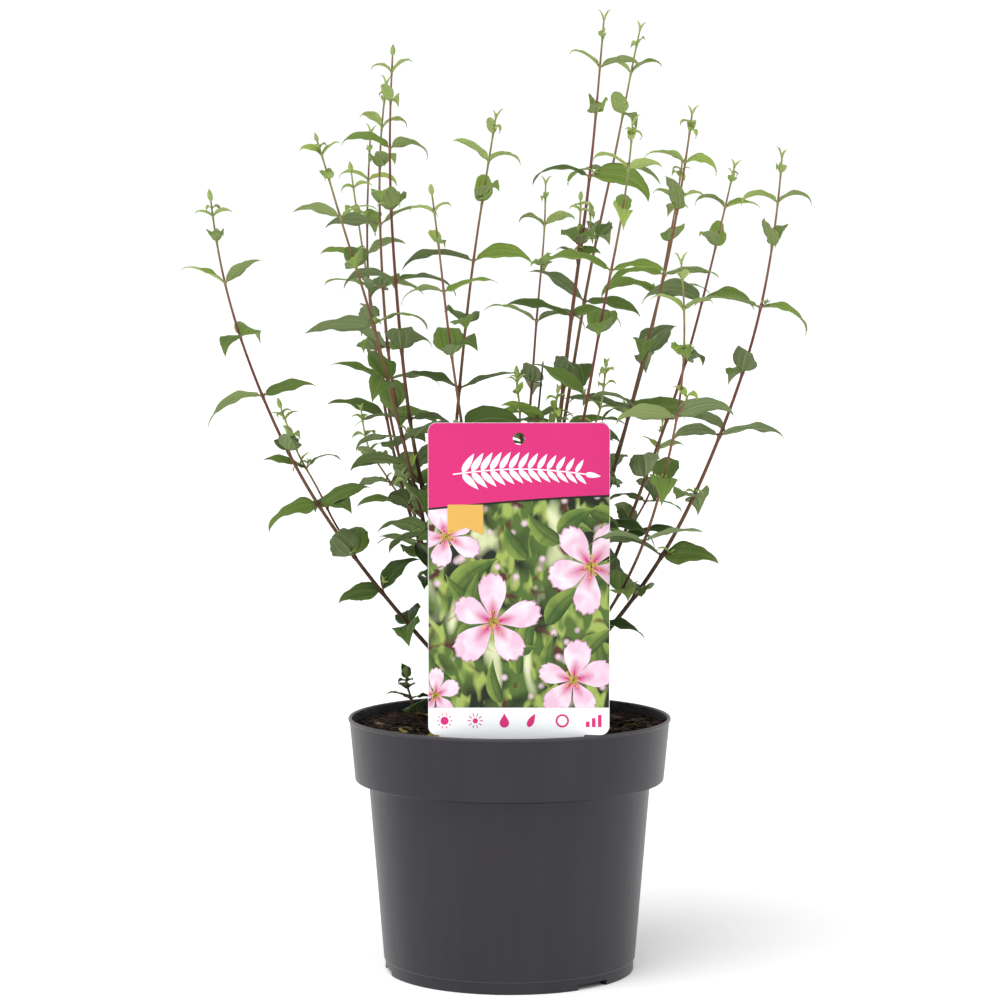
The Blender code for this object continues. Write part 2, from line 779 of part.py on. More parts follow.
def fit_leaf(leaf, owner, space):
    """The leaf itself, or a turned or shorter one where it would touch something."""
    side = leaf.up.cross(leaf.out)
    for swing, shrink in ((0, 1), (0.5, 1), (-0.5, 1), (0, 0.7), (0.9, 0.85), (-0.9, 0.85)):
        out = leaf.out * cos(swing) + side * sin(swing)
        tried = replace(leaf, out=out, length=leaf.length * shrink)
        corners, faces = leaf_solid(tried, 2 * CLEAR)
        if space.is_free(owner, corners, faces):
            return tried
    return None


def solid_object(name, corners, faces, collection):
    made = bpy.data.meshes.new(name)
    made.from_pydata(corners, [], faces)
    return place(name, made, collection)


def fuse(base, name, parts, collection, finish):
    """Join a collection's solids to a base solid, and clear the collection away."""
    boolean = base.modifiers.new("Join", "BOOLEAN")
    boolean.operation = "UNION"
    boolean.operand_type = "COLLECTION"
    boolean.collection = parts
    boolean.solver = "MANIFOLD"
    bpy.context.view_layer.update()
    graph = bpy.context.evaluated_depsgraph_get()
    made = bpy.data.meshes.new_from_object(base.evaluated_get(graph))
    bpy.data.objects.remove(base)
    for thing in list(parts.objects):
        bpy.data.objects.remove(thing)
    bpy.data.collections.remove(parts)
    return place(name, made, collection, finish)


def build_limb(name, stem, start, path, collection, finish):
    """The bare lower length of one stem, upright on its foot."""
    spread = stem.bare * MM - start
    points = []
    radii = []
    for distance in (0, *(start + spread * step / LIMB_SPANS for step in range(LIMB_SPANS + 1))):
        points.append(path.at(distance)[0])
        radii.append(radius_along(stem.girth, path, distance))
    limb = tube(name, points, radii, 6, collection)
    limb.data.materials.append(finish)
    return limb


def plan_twigs(number, stem, path):
    """A stem's leafy twig, with its side shoots, which is the first of the list."""
    draw = random.Random(100 + number)
    bare = stem.bare * MM
    main_twig = grow_twig(path, stem.girth, bare + LIMB_CLEAR, bare + 4 * MM, stem.gap * MM,
                          stem.leaf, stem.turn, draw)
    twigs = [main_twig] + axil_twigs(main_twig, stem.leaf, draw)
    for index, shoot in enumerate(SIDE_SHOOTS):
        if shoot.stem == number:
            twigs.append(side_twig(main_twig, shoot, 200 + index))
    return twigs


def build_shoot(owner, twigs, tubes, space, collection, tools, finish):
    """Fuse one shoot's twigs and all the leaves that have room."""
    parts = bpy.data.collections.new(f"{owner} parts")
    tools.children.link(parts)
    for tube_solid in tubes[1:]:
        tools.objects.unlink(tube_solid)
        parts.objects.link(tube_solid)
    for twig in twigs:
        for leaf in twig.leaves:
            fitted = fit_leaf(leaf, owner, space)
            if fitted is None:
                continue
            corners, faces = leaf_solid(fitted)
            space.add(owner, corners, faces)
            solid_object(f"{owner} leaf", corners, faces, parts)
    return fuse(tubes[0], owner, parts, collection, finish)


def grow_shrub(collection, tools, finishes, obstacles):
    """Grow every stem and its leafy shoot, keeping the shoots clear of each other."""
    section = three_sided_section(tools)
    stool_top = SOIL_TOP + CLEAR + STOOL_HEIGHT + CLEAR
    plans = [(stem, stool_top, STEM_START) for stem in STEMS]
    plans.append((SUCKER, SOIL_TOP + CLEAR, SUCKER_START))
    limbs = []
    shoots = []
    for number, (stem, floor, start) in enumerate(plans, 1):
        path = stem_path(stem, UP * start, floor, number)
        name = f"stem_{number:02d}"
        limbs.append(build_limb(name, stem, start, path, collection, finishes["bark"]))
        owner = f"shoot_{number:02d}"
        twigs = plan_twigs(number, stem, path)
        curves = [twig_curve(f"{owner} twig", twig, section, tools) for twig in twigs]
        shoots.append((owner, twigs, curves))
    bpy.context.view_layer.update()
    space = Space()
    for thing in (*obstacles, *limbs):
        space.add_mesh(thing.name, mesh_of(thing), thing.matrix_world)
    ready = []
    for owner, twigs, curves in shoots:
        tubes = [triangulated(become_mesh(curve, tools, None)) for curve in curves]
        for tube_solid in tubes:
            space.add_mesh(owner, tube_solid.data, tube_solid.matrix_world)
        ready.append((owner, twigs, tubes))
    for owner, twigs, tubes in ready:
        build_shoot(owner, twigs, tubes, space, collection, tools, finishes["foliage"])
    bpy.data.objects.remove(section)


def main():
    for thing in list(bpy.data.objects):
        bpy.data.objects.remove(thing)
    shrub = bpy.data.collections.new("mock orange in pot")
    tools = bpy.data.collections.new("cutters")
    bpy.context.scene.collection.children.link(shrub)
    bpy.context.scene.collection.children.link(tools)
    finishes = {
        "pot": material("pot plastic", (0.055, 0.052, 0.060), 0.45),
        "soil": material("potting soil", (0.030, 0.019, 0.013), 0.95),
        "card": material("printed card", (0.80, 0.06, 0.30), 0.30),
        "bark": material("young bark", (0.16, 0.075, 0.045), 0.65),
        "foliage": material("foliage", (0.10, 0.20, 0.06), 0.55),
    }
    pot = build_pot(shrub, tools, finishes["pot"])
    soil = build_soil(shrub, tools, finishes["soil"])
    card = build_card(shrub, finishes["card"])
    stool = build_stool(shrub, finishes["bark"])
    bpy.context.view_layer.update()
    grow_shrub(shrub, tools, finishes, (pot, soil, card, stool))


main()
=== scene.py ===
"""Mock orange shrub in its nursery pot: the finished looks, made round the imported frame.

The bare stems, twigs and leaves grow by one seeded rule from the table of stems below, carried
down to leaf stalks, buds and nerves. Metres, +Z up, the front of the pot faces -Y.
"""

import random
from collections import namedtuple
from dataclasses import dataclass, replace
from functools import cache
from math import cos, degrees, hypot, pi, radians, sin, sqrt

import bmesh
import bpy
import numpy as np
from bpy.props import FloatProperty, FloatVectorProperty, IntProperty, PointerProperty
from mathutils import Matrix, Vector, noise
from mathutils.kdtree import KDTree


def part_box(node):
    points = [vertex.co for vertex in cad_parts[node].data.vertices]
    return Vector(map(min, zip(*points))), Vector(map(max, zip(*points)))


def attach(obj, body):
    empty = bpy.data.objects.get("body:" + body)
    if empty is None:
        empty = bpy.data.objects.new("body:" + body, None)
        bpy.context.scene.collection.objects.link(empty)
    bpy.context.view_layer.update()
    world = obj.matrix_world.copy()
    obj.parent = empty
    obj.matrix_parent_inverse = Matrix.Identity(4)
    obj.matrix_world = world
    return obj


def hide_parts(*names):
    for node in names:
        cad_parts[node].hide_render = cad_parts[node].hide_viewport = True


bl_info = {
    "name": "Mock orange in a nursery pot",
    "version": (1, 0, 0),
    "blender": (4, 5, 0),
    "location": "3D View > Sidebar > Shrub",
    "description": "Grows a young many-stemmed shrub in a plastic pot, with its picture card",
    "category": "Add Mesh",
}

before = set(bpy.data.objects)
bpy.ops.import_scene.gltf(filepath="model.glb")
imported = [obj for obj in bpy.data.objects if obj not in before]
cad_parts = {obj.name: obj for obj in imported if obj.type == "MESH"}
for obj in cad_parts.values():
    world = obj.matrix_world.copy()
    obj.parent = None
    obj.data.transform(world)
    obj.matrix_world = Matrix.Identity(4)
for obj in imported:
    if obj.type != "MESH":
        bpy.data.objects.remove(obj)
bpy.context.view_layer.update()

MM = 0.001
UP = Vector((0, 0, 1))
POT_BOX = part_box("pot")
SOIL_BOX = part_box("soil")
CARD_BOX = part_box("card")
STOOL_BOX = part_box("stool")


# Sizes and colours that a user would change

def size(name, description, default):
    """A length that a user can change."""
    return FloatProperty(name=name, description=description, default=default, unit="LENGTH",
                         subtype="DISTANCE", precision=4)


def share(name, description, default, top=1.0):
    """A plain number from nothing up to a top."""
    return FloatProperty(name=name, description=description, default=default, min=0, max=top)


def colour(name, description, default):
    """A colour that a user can change."""
    return FloatVectorProperty(name=name, description=description, default=default, size=3,
                               subtype="COLOR", min=0, max=1)


class PotSettings(bpy.types.PropertyGroup):
    """The pot"""
    rim_radius: size("Rim radius", "From the axis to the outside of the lip", POT_BOX[1][0])
    height: size("Height", "From the floor to the top of the rim", POT_BOX[1][2])
    wall: size("Wall", "Thickness of the moulding", 1.6 * MM)
    band_radius: size("Band radius", "Outside of the rim band at its lower edge", 91.0 * MM)
    band_height: size("Band height", "From the rim down to the band's lower edge", 37 * MM)
    shoulder_radius: size("Shoulder radius", "Outside of the body just below the band", 82.9 * MM)
    heel_radius: size("Heel radius", "Outside of the body just above the foot", 74.4 * MM)
    foot_radius: size("Foot radius", "Outside of the ring that the pot stands on", 73.4 * MM)
    plastic: colour("Plastic", "Colour of the pot", (0.0172, 0.0150, 0.0215))
    worn: colour("Worn plastic", "Colour where the plastic is rubbed pale", (0.042, 0.038, 0.045))
    # The lip colour is a painted highlight: pale bands laid along the lip and round the step of the
    # foot, where a line of light would catch.
    lip: colour("Lip", "Colour of the highlighted lip", (0.052, 0.047, 0.055))
    # The inside colour is painted shade, for the shade that falls inside the pot.
    inner: colour("Inside", "Colour of the shadowed inside", (0.0055, 0.0050, 0.0060))
    roughness: share("Roughness", "How dull the plastic is", 0.38)


class SoilSettings(bpy.types.PropertyGroup):
    """The soil and what lies on it"""
    top: size("Top", "Height of the soil where it meets the wall", SOIL_BOX[1][2])
    bank: size("Bank", "How far the soil rises from the middle to the wall", 6 * MM)
    dip: size("Dip", "How far the surface sinks in places", 1.2 * MM)
    crumbs: IntProperty(name="Crumbs", description="Small lumps on the soil", default=560)
    chips: IntProperty(name="Bark chips", description="Larger pieces of bark", default=120)
    fibres: IntProperty(name="Fibres", description="Peat fibres on the soil", default=260)
    peat: colour("Peat", "Colour of the moist soil", (0.0058, 0.0040, 0.0031))
    crumb: colour("Drier crumbs", "Colour of the drier crumbs", (0.021, 0.0125, 0.0085))
    chip: colour("Bark", "Colour of the bark in the soil", (0.105, 0.043, 0.031))
    fibre: colour("Fibres", "Colour of the fibres", (0.175, 0.112, 0.066))


class CardSettings(bpy.types.PropertyGroup):
    """The picture card"""
    corner: size("Corner", "Radius of the card's corners", 5 * MM)
    hole: size("Hole", "Radius of the hanging hole", 3.4 * MM)
    header: size("Header", "Height of the coloured header", 43 * MM)
    footer: size("Footer", "Height of the white foot of the card", 15.5 * MM)
    tongue: size("Tongue", "Depth of the tongue in the soil", 33 * MM)
    paper: colour("Paper", "Colour of the unprinted sheet", (0.91, 0.93, 0.95))
    band: colour("Header", "Colour of the header", (0.66, 0.026, 0.185))
    gold: colour("Ribbon", "Colour of the plain ribbon", (0.72, 0.43, 0.10))
    blush: colour("Blush", "Colour of the petals near their middle", (0.56, 0.022, 0.17))
    petal: colour("Petal", "Colour of the petals at their edge", (0.78, 0.50, 0.65))


class StemSettings(bpy.types.PropertyGroup):
    """The wood, from the old bark to the growing tips"""
    relief: size("Bark relief", "Depth of the furrows in the bark", 0.16 * MM)
    bark: colour("Bark", "Colour of the old bark", (0.098, 0.050, 0.024))
    furrow: colour("Furrows", "Colour in the furrows of the bark", (0.034, 0.017, 0.009))
    red: colour("Young wood", "Colour of the year's reddish wood", (0.190, 0.098, 0.046))
    wine: colour("Wine-red wood", "Colour of the darker red stems", (0.145, 0.043, 0.034))
    rose: colour("Soft wood", "Colour of the soft upper stem", (0.225, 0.085, 0.070))
    green: colour("Tips", "Colour of the growing tips", (0.260, 0.310, 0.090))


class LeafSettings(bpy.types.PropertyGroup):
    """The leaves, from the newest to the oldest"""
    thickness: size("Thickness", "Thickness of a blade", 0.24 * MM)
    nerve: share("Nerve depth", "Depth of the nerves, as a share of half the width", 0.07)
    tooth: share("Teeth", "Depth of the teeth, as a share of half the width", 0.11)
    wave: share("Waves", "How far the margins wave, as a share of half the width", 0.14)
    young: colour("Young", "Colour of the newest leaves", (0.290, 0.395, 0.082))
    fresh: colour("Fresh", "Colour of the leaves below the tips", (0.185, 0.285, 0.045))
    full: colour("Full", "Colour of the full-grown leaves", (0.104, 0.166, 0.033))
    old: colour("Old", "Colour of the lowest leaves", (0.034, 0.067, 0.012))
    under_young: colour("Young underside", "Underside of the newest leaves", (0.350, 0.445, 0.145))
    under_full: colour("Full underside", "Underside of the full-grown leaves",
                       (0.170, 0.225, 0.095))


class StudioSettings(bpy.types.PropertyGroup):
    """The floor, the light and the camera"""
    floor: colour("Floor", "Colour of the floor", (0.97, 0.97, 0.97))
    glow: share("Floor glow", "How much light the floor gives of its own", 0.22, 5)
    horizon: share("Horizon", "Brightness of the white surround low down", 1.06, 5)
    zenith: share("Zenith", "Brightness of the surround overhead", 0.42, 5)
    key: FloatProperty(name="Key light", description="Strength of the large soft light",
                       default=2.0, min=0)
    spread: FloatProperty(name="Spread", description="How soft the key light is",
                          default=radians(50), subtype="ANGLE")
    fill: FloatProperty(name="Fill light", description="Power of the second light", default=3,
                        unit="POWER")
    lens: FloatProperty(name="Lens", description="Focal length of the camera", default=107.5,
                        unit="CAMERA")
    distance: size("Distance", "From the pot's axis to the camera", 1.75)
    height: size("Height", "Height of the camera", 0.392)
    pitch: FloatProperty(name="Pitch", description="How far the camera looks down",
                         default=radians(3.74), subtype="ANGLE")


# Fixed sizes of the pot, with how its profile is divided and its mesh welded and creased

POT_SIDES = 160
FOOT_WIDTH = 5 * MM
STEP_HEIGHT = 7.1 * MM
FLOOR_LIFT = 6 * MM
FLOOR_THICK = 2 * MM
PAD_RADIUS = 10 * MM
FIRST_NOTCH = 311
NOTCH_SIZE = (22 * MM, 6.4 * MM)
DRAIN_COUNT = 8
DRAIN_RING = 56 * MM
DRAIN_RADIUS = 4.5 * MM
PROFILE_STEP = 6 * MM
WELD = 0.004 * MM
CRISP_EDGE = radians(32)

# The soil: shares of the way to the wall, and the shares of its bank that it has risen there
SOIL_BANK = ((0.0, 0.60, 0.80, 1.0), (0.0, 0.0, 0.75, 1.0))
SOIL_SIDES = 220
SOIL_RINGS = 74
SOIL_CLEAR = 0.5 * MM
LUMP_GRID = (4, 6)
STRAND_STEPS = 6
# Crumbs on the lip: heading in degrees, and height in millimetres
LIP_CRUMBS = ((166, 0.6), (171, 0.2), (38, 0.8), (43, 0.5), (27, 0.2), (352, 0.4))
# Fallen leaves: place in millimetres, heading in degrees, and length in millimetres
FALLEN = ((-49, -16, -8, 20), (-62, -38, 80, 12), (76, -18, 150, 11),
          (52, 50, 80, 15), (-48, 48, 150, 13), (-20, 70, 300, 14))

# The card: the bare edge round its prints, the thickness of one, and their roughness and shine
EDGE = 0.25 * MM
LAYER = 0.03 * MM
PRINT_GLOSS = (0.38, 0.22)
# Blossoms: place as shares of the picture, radius in millimetres, and turn in radians
BLOOMS = ((0.36, 0.40, 26, 0.25), (0.90, 0.66, 25, 0.9), (0.10, 0.80, 19, 2.0),
          (0.80, 0.13, 21, 1.5), (0.04, 0.06, 15, 0.4))
STAMENS = 26
PRINTED_LEAVES = 24

# The stool and the bark of the bare stems
STOOL_MIDDLE = -3 * MM
STOOL_RADII = (31 * MM, 23 * MM)
STOOL_FLARE = 6 * MM
STOOL_LOBES = 7
STOOL_SIDES = 120
STOOL_LEVELS = 22
# Stubs of stems that were cut back, in millimetres: place, girth and height
STUBS = ((-12, -14, 5.5, 7), (2, 6, 6.5, 9), (-24, 2, 5, 6),
         (14, -9, 5, 8), (-8, 12, 6, 7), (20, 13, 4.5, 6))
STUB_SIDES = 14
STEM_SIDES = 16
STEM_FLARE = 0.55
FLARE_FADE = 3.5 * MM


# The rule that the shrub grows by. Where no comment says otherwise, a pair of numbers is a span
# to draw from and an angle is in degrees.

# Stems
STEM_START = 4 * MM
TIP_RADIUS = 0.5 * MM
TAPER = 0.9
SLIM = 0.9
WOBBLE = 1.3 * MM
PATH_STEPS = 60

# Gaps between leaf pairs, as shares of the stem's own: the first one; the next ones, and how they
# widen from pair to pair; and the low part of a stem where they are narrow again, with its share
FIRST_PAIR = 0.26
YOUNG_GAP = (0.42, 0.24)
LOW_GAP = (0.25, 0.72)

# Leaf lengths, as shares of a full leaf's: the first one, and how they grow from pair to pair;
# and the part of the pairs from which they are old, with their share
YOUNG_LEAF = (0.36, 0.21)
OLD_LEAF = (0.75, 0.86)

# How leaves stand; their width is a share of their length, from the tip to the lowest pair
LEAF_WIDTH = (0.31, 0.44)
LEAF_SPREAD = (0.84, 1.14)
LEAF_ROLL = 38
TURN_JITTER = 16
PAIR_JITTER = 12
DRIFT = 22
RISE = (14, 48)
DROOP = (30, 96)
YOUNG_RISE = 16
YOUNG_DROOP = 0.25

# The folded pair at a tip
BUD_LEAF = 9 * MM
BUD_SPREAD = (0.8, 1.2)
BUD_BACK = 1.2 * MM
BUD_RISE = (72, 82)
BUD_DROOP = 20
BUD_AGE = -0.1
CLOSED_BUD = 0.8
CLOSED_BROAD = 1.2

# The hooked pair below some of the tips, with its spread and sway in radians
TIP_CHANCE = 0.5
TIP_PAIR = 0.55
TIP_LEAF = (6 * MM, 10 * MM)
TIP_TURN = 45
TIP_SPREAD = 0.3
TIP_RISE = (35, 70)
TIP_DROOP = (60, 190)
TIP_SWAY = 0.5

# Twigs in the leaf axils, their elbow as in the table of stems, and longer side shoots
AXIL_FROM = 3
AXIL_CHANCE = 0.08
AXIL_LENGTH = (14 * MM, 26 * MM)
AXIL_LEAN = 0.7
AXIL_ELBOW = (0.7, 0.4)
AXIL_GIRTH = 1.2
AXIL_LEAF = 0.9
AXIL_PAIR = 1.5 * MM
AXIL_START = 0.1 * MM
SIDE_START = 1 * MM
SIDE_GIRTH = 1.5
SIDE_BARE = 16 * MM

# Tufts of tiny leaves in the axils, their leaf lengths in millimetres
TUFT_FROM = 2
TUFT_CHANCE = 0.20
TUFT_LENGTH = (2.5 * MM, 7.0 * MM)
TUFT_LEAN = 0.75
TUFT_GIRTH = 0.8
TUFT_TIP = 0.25 * MM
TUFT_LEAF = (15, 27)
TUFT_PAIR = 0.7
TUFT_FOOT = 0.6
TUFT_BUD = 0.4

# The solids: where a foliage mass begins and its stem's bark ends, and how a leaf is found in one,
# with the turns in radians and the shares of its length that it tries until it has room
LIMB_CLEAR = 0.42 * MM
LIMB_OVER = 4 * MM
SOLID_LEAF_STEPS = 25
SAME_PLACE = 0.05 * MM
TRIES = ((0, 1), (0.5, 1), (-0.5, 1), (0, 0.7), (0.9, 0.85), (-0.9, 0.85))
AT_NODE = 0.1 * MM

# The stem that ends in a dark bare stub, and the share of its length where that begins
BARE_STEM = 10
BARE_FROM = 0.85

# A stem, in millimetres: where it starts and ends, and how it bends and bears leaves
Stem = namedtuple("Stem", "foot tip elbow girth bare gap leaf turn")

STEMS = [Stem(*row) for row in (
    ((-20, -5), (-171, -35, 452), (0.88, 0.45), 3.0, 52, 36, 38, 0),
    ((-27, -12), (-107, -85, 483), (0.56, 0.65), 2.8, 66, 34, 37, 0),
    ((-25, 12), (-97, 92, 474), (0.60, 0.35), 2.6, 60, 41, 36, 0),
    ((-17, 16), (-86, 115, 498), (1.20, 0.45), 2.8, 70, 42, 37, 90),
    ((-17, 3), (-73, 32, 522), (1.40, 0.55), 3.2, 64, 37, 38, 90),
    ((-11, -7), (-67, -30, 535), (1.20, 0.40), 3.4, 58, 40, 40, 0),
    ((-4, -17), (-43, -104, 453), (0.56, 0.50), 2.6, 74, 42, 40, 0),
    ((-31, -1), (-8, -45, 498), (-0.60, 0.35), 3.0, 62, 38, 42, 90),
    ((-4, 18), (23, 130, 468), (0.88, 0.70), 2.6, 72, 40, 36, 90),
    ((-2, -7), (19, -45, 360), (0.56, 0.60), 2.6, 60, 26, 32, 0),
    ((7, 1), (55, 5, 558), (0.64, 0.50), 4.0, 56, 41, 42, 90),
    ((5, 12), (79, 70, 558), (0.64, 0.70), 3.2, 66, 40, 38, 90),
    ((7, -15), (67, -105, 491), (0.96, 0.80), 2.8, 78, 37, 38, 90),
    ((15, -5), (105, -20, 502), (0.84, 0.60), 3.4, 60, 42, 41, 90),
    ((14, 11), (107, 105, 480), (0.84, 0.60), 2.8, 62, 38, 38, 90),
    ((17, -14), (93, -120, 415), (1.16, 0.40), 2.4, 64, 38, 38, 90),
    ((22, 8), (137, 75, 476), (0.56, 0.30), 3.0, 56, 38, 41, 90),
    ((24, -3), (156, -30, 477), (0.92, 0.40), 3.2, 50, 39, 40, 90),
)]
SUCKER = Stem((-47, 5), (-61, 8, 172), (0.95, 0.30), 1.8, 8, 10, 19, 30)
SUCKER_START = 1 * MM
SUCKER_BROAD = 0.62
SUCKER_ROLL = 0.3

# A thinner shoot that leaves a stem part of the way up, in millimetres
SideShoot = namedtuple("SideShoot", "stem start tip elbow gap leaf turn")

SIDE_SHOOTS = [SideShoot(*row) for row in (
    (1, 0.32, (-135, 10, 332), (0.60, 0.45), 30, 32, 10),
    (5, 0.30, (-91, 86, 328), (0.90, 0.40), 26, 28, 50),
    (10, 0.62, (4, -50, 352), (0.90, 0.50), 16, 22, 0),
    (10, 0.62, (27, -64, 343), (0.90, 0.50), 16, 22, 30),
    (11, 0.62, (41, -14, 453), (1.10, 0.40), 26, 20, 0),
    (13, 0.38, (55, -40, 357), (0.80, 0.40), 18, 24, 40),
    (17, 0.30, (95, 96, 320), (0.90, 0.40), 26, 30, 70),
)]


def numbered(kind):
    """The names of one kind of node, one to each stem."""
    return [f"{kind}_{number:02d}" for number in range(1, len(STEMS) + 2)]


def way_at(distance, stops, points):
    """The point and the direction at a distance along a line of points at their stops."""
    index = 0
    while index < len(stops) - 2 and stops[index + 1] < distance:
        index += 1
    a, b = points[index], points[index + 1]
    part = (distance - stops[index]) / (stops[index + 1] - stops[index])
    return a.lerp(b, part), (b - a).normalized()


class Path:
    """A stem line that can be read at any length along it."""

    def __init__(self, points):
        self.points = points
        self.lengths = [0.0]
        for a, b in zip(points, points[1:]):
            self.lengths.append(self.lengths[-1] + (b - a).length)
        self.length = self.lengths[-1]

    def at(self, distance):
        """The point and the direction at a distance from the foot."""
        return way_at(distance, self.lengths, self.points)


def sway(draw, most):
    """A random amount either way, up to the most."""
    return draw.uniform(-most, most)


def bent_path(foot, tip, elbow, start, seed):
    """A path that sets off by start, turns at its elbow and sways a little on its way."""
    draw = random.Random(seed)
    phases = [draw.uniform(0, 2 * pi) for _ in range(4)]
    out, up = elbow
    first = foot + start
    bend = first + Vector(((tip.x - first.x) * out, (tip.y - first.y) * out, 0))
    bend.z = first.z + (tip.z - first.z) * up
    points = [foot]
    for step in range(PATH_STEPS + 1):
        t = step / PATH_STEPS
        point = first * (1 - t) ** 2 + bend * 2 * t * (1 - t) + tip * t * t
        swing = WOBBLE * sin(pi * t)
        point.x += swing * (0.6 * sin(5 * t + phases[0]) + 0.4 * sin(13 * t + phases[1]))
        point.y += swing * (0.6 * sin(5 * t + phases[2]) + 0.4 * sin(13 * t + phases[3]))
        points.append(point)
    return Path(points)


@dataclass
class Leaf:
    """Where one leaf grows and how it bends, in metres and radians."""
    root: Vector
    out: Vector
    up: Vector
    length: float
    rise: float
    droop: float
    drift: float
    roll: float
    broad: float
    age: float            # 0 at the tip of a stem, 1 at its lowest leaves

    def line(self, steps, curl=0.0):
        """Points and directions along the midrib; curl bends its last third further down."""
        point = self.root.copy()
        side = self.up.cross(self.out)
        spots = []
        for step in range(steps + 1):
            t = step / steps
            lift = self.rise - self.droop * t ** 1.15 - curl * max(0.0, 3 * t - 2) ** 2
            swing = self.drift * t
            level = self.out * cos(swing) + side * sin(swing)
            way = level * cos(lift) + self.up * sin(lift)
            spots.append((point.copy(), way))
            point = point + way * (self.length / steps)
        return spots


class Twig:
    """A leaf-bearing length of stem: straight from the middle of one internode to the next."""

    def __init__(self, path, girth, start, nodes, tip=TIP_RADIUS):
        self.path, self.girth, self.start = path, girth, start
        self.nodes, self.tip = nodes, tip
        rising = sorted(nodes)
        middles = [(low + high) / 2 for low, high in zip(rising, rising[1:])]
        self.stops = [start, *middles, path.length]
        self.points = [path.at(stop)[0] for stop in self.stops]
        self.leaves = []
        self.living = path.length

    def spine(self, distance):
        """The point and the direction on the twig's own straight lengths at a distance."""
        return way_at(distance, self.stops, self.points)

    def radius(self, distance):
        """Half the twig's thickness: it tapers evenly towards a thin tip."""
        left = 1 - min(distance / self.path.length, 1)
        return self.tip + (SLIM * self.girth * MM / 2 - self.tip) * left ** TAPER

    def wither(self, top):
        """Leave the twig dark and bare above a distance."""
        self.living = top
        self.nodes = [node for node in self.nodes if node < top]
        height = self.path.at(top)[0].z
        self.leaves = [leaf for leaf in self.leaves if leaf.root.z < height]


def node_distances(path, bare, gap):
    """Distances of the leaf pairs from the foot: close at the tip and low down, wide between."""
    spots = []
    back = FIRST_PAIR * gap
    low = bare + LOW_GAP[0] * (path.length - bare)
    while path.length - back > bare:
        spots.append(path.length - back)
        stretch = min(1.0, YOUNG_GAP[0] + YOUNG_GAP[1] * (len(spots) - 1))
        if spots[-1] < low:
            stretch = LOW_GAP[1]
        back += gap * stretch
    return spots


def leaf_share(index, count):
    """Leaf length as a share of a full leaf, by its place below the tip."""
    young = min(1.0, YOUNG_LEAF[0] + YOUNG_LEAF[1] * index)
    old = OLD_LEAF[1] if index > OLD_LEAF[0] * count else 1.0
    return young * old


def polar(radius, heading):
    """The level place at a radius and a heading from the axis."""
    return radius * cos(heading), radius * sin(heading)


def level_way(heading):
    """The level direction of a heading."""
    return Vector((*polar(1, heading), 0))


def square_way(way, heading):
    """The direction square to a way that lies nearest to a heading."""
    level = level_way(heading)
    return (level - way * level.dot(way)).normalized()


def leaves_on(twig, length, turn, draw):
    """Opposite leaf pairs up one twig, each pair a quarter turn from the last."""
    leaves = []
    narrow, wide = LEAF_WIDTH
    for index, distance in enumerate(twig.nodes):
        point, way = twig.spine(distance)
        up = (way + UP).normalized()
        place = index / len(twig.nodes)
        young = max(0.0, 1 - index / 3)
        base_turn = radians(turn + 90 * index + sway(draw, TURN_JITTER))
        for side in (0, pi):
            heading = base_turn + side + radians(sway(draw, PAIR_JITTER))
            leaves.append(Leaf(
                root=point,
                out=square_way(up, heading),
                up=up,
                length=(length * MM * leaf_share(index, len(twig.nodes))
                        * draw.uniform(*LEAF_SPREAD)),
                rise=radians(draw.uniform(*RISE) + YOUNG_RISE * young),
                droop=radians(draw.uniform(*DROOP) * (1 + YOUNG_DROOP * young)),
                drift=radians(sway(draw, DRIFT)),
                roll=radians(sway(draw, LEAF_ROLL)),
                broad=narrow + (wide - narrow) * place,
                age=place,
            ))
    return leaves


def bud_leaves(twig, turn, draw):
    """The folded young pair at a stem's tip."""
    point, way = twig.spine(twig.path.length - BUD_BACK)
    leaves = []
    for side in (0, pi):
        length = BUD_LEAF * draw.uniform(*BUD_SPREAD)
        leaves.append(Leaf(point, square_way(way, radians(turn + 90) + side), way, length,
                           rise=radians(draw.uniform(*BUD_RISE)), droop=radians(BUD_DROOP), drift=0,
                           roll=0, broad=LEAF_WIDTH[0], age=BUD_AGE))
    return leaves


def grow_twig(path, girth, start, bare, gap, length, turn, draw):
    """A twig with its leaf pairs and the folded pair at its tip."""
    twig = Twig(path, girth, start, node_distances(path, bare, gap))
    twig.leaves = bud_leaves(twig, turn, draw) + leaves_on(twig, length, turn, draw)
    return twig


def axil_twigs(parent, length, draw):
    """Short new growth, with one leaf pair, in some of the lower leaf axils."""
    twigs = []
    for distance in parent.nodes[AXIL_FROM:]:
        chance = draw.random()
        heading = draw.uniform(0, 2 * pi)
        reach = draw.uniform(*AXIL_LENGTH)
        seed = draw.random()
        if chance > AXIL_CHANCE:
            continue
        point, way = parent.spine(distance)
        tip = point + (UP + level_way(heading) * AXIL_LEAN).normalized() * reach
        path = bent_path(point, tip, AXIL_ELBOW, way * AXIL_START, seed)
        twig = Twig(path, AXIL_GIRTH, 0, [path.length - AXIL_PAIR])
        twig.leaves = leaves_on(twig, AXIL_LEAF * length, degrees(heading), random.Random(seed))
        twigs.append(twig)
    return twigs


def side_twig(parent, shoot, seed):
    """A longer side shoot that leaves its stem at a given share of the way up."""
    point, way = parent.spine(parent.path.length * shoot.start)
    path = bent_path(point, Vector(shoot.tip) * MM, shoot.elbow, way * SIDE_START, seed)
    return grow_twig(path, SIDE_GIRTH, 0, SIDE_BARE, shoot.gap * MM, shoot.leaf, shoot.turn,
                     random.Random(seed))


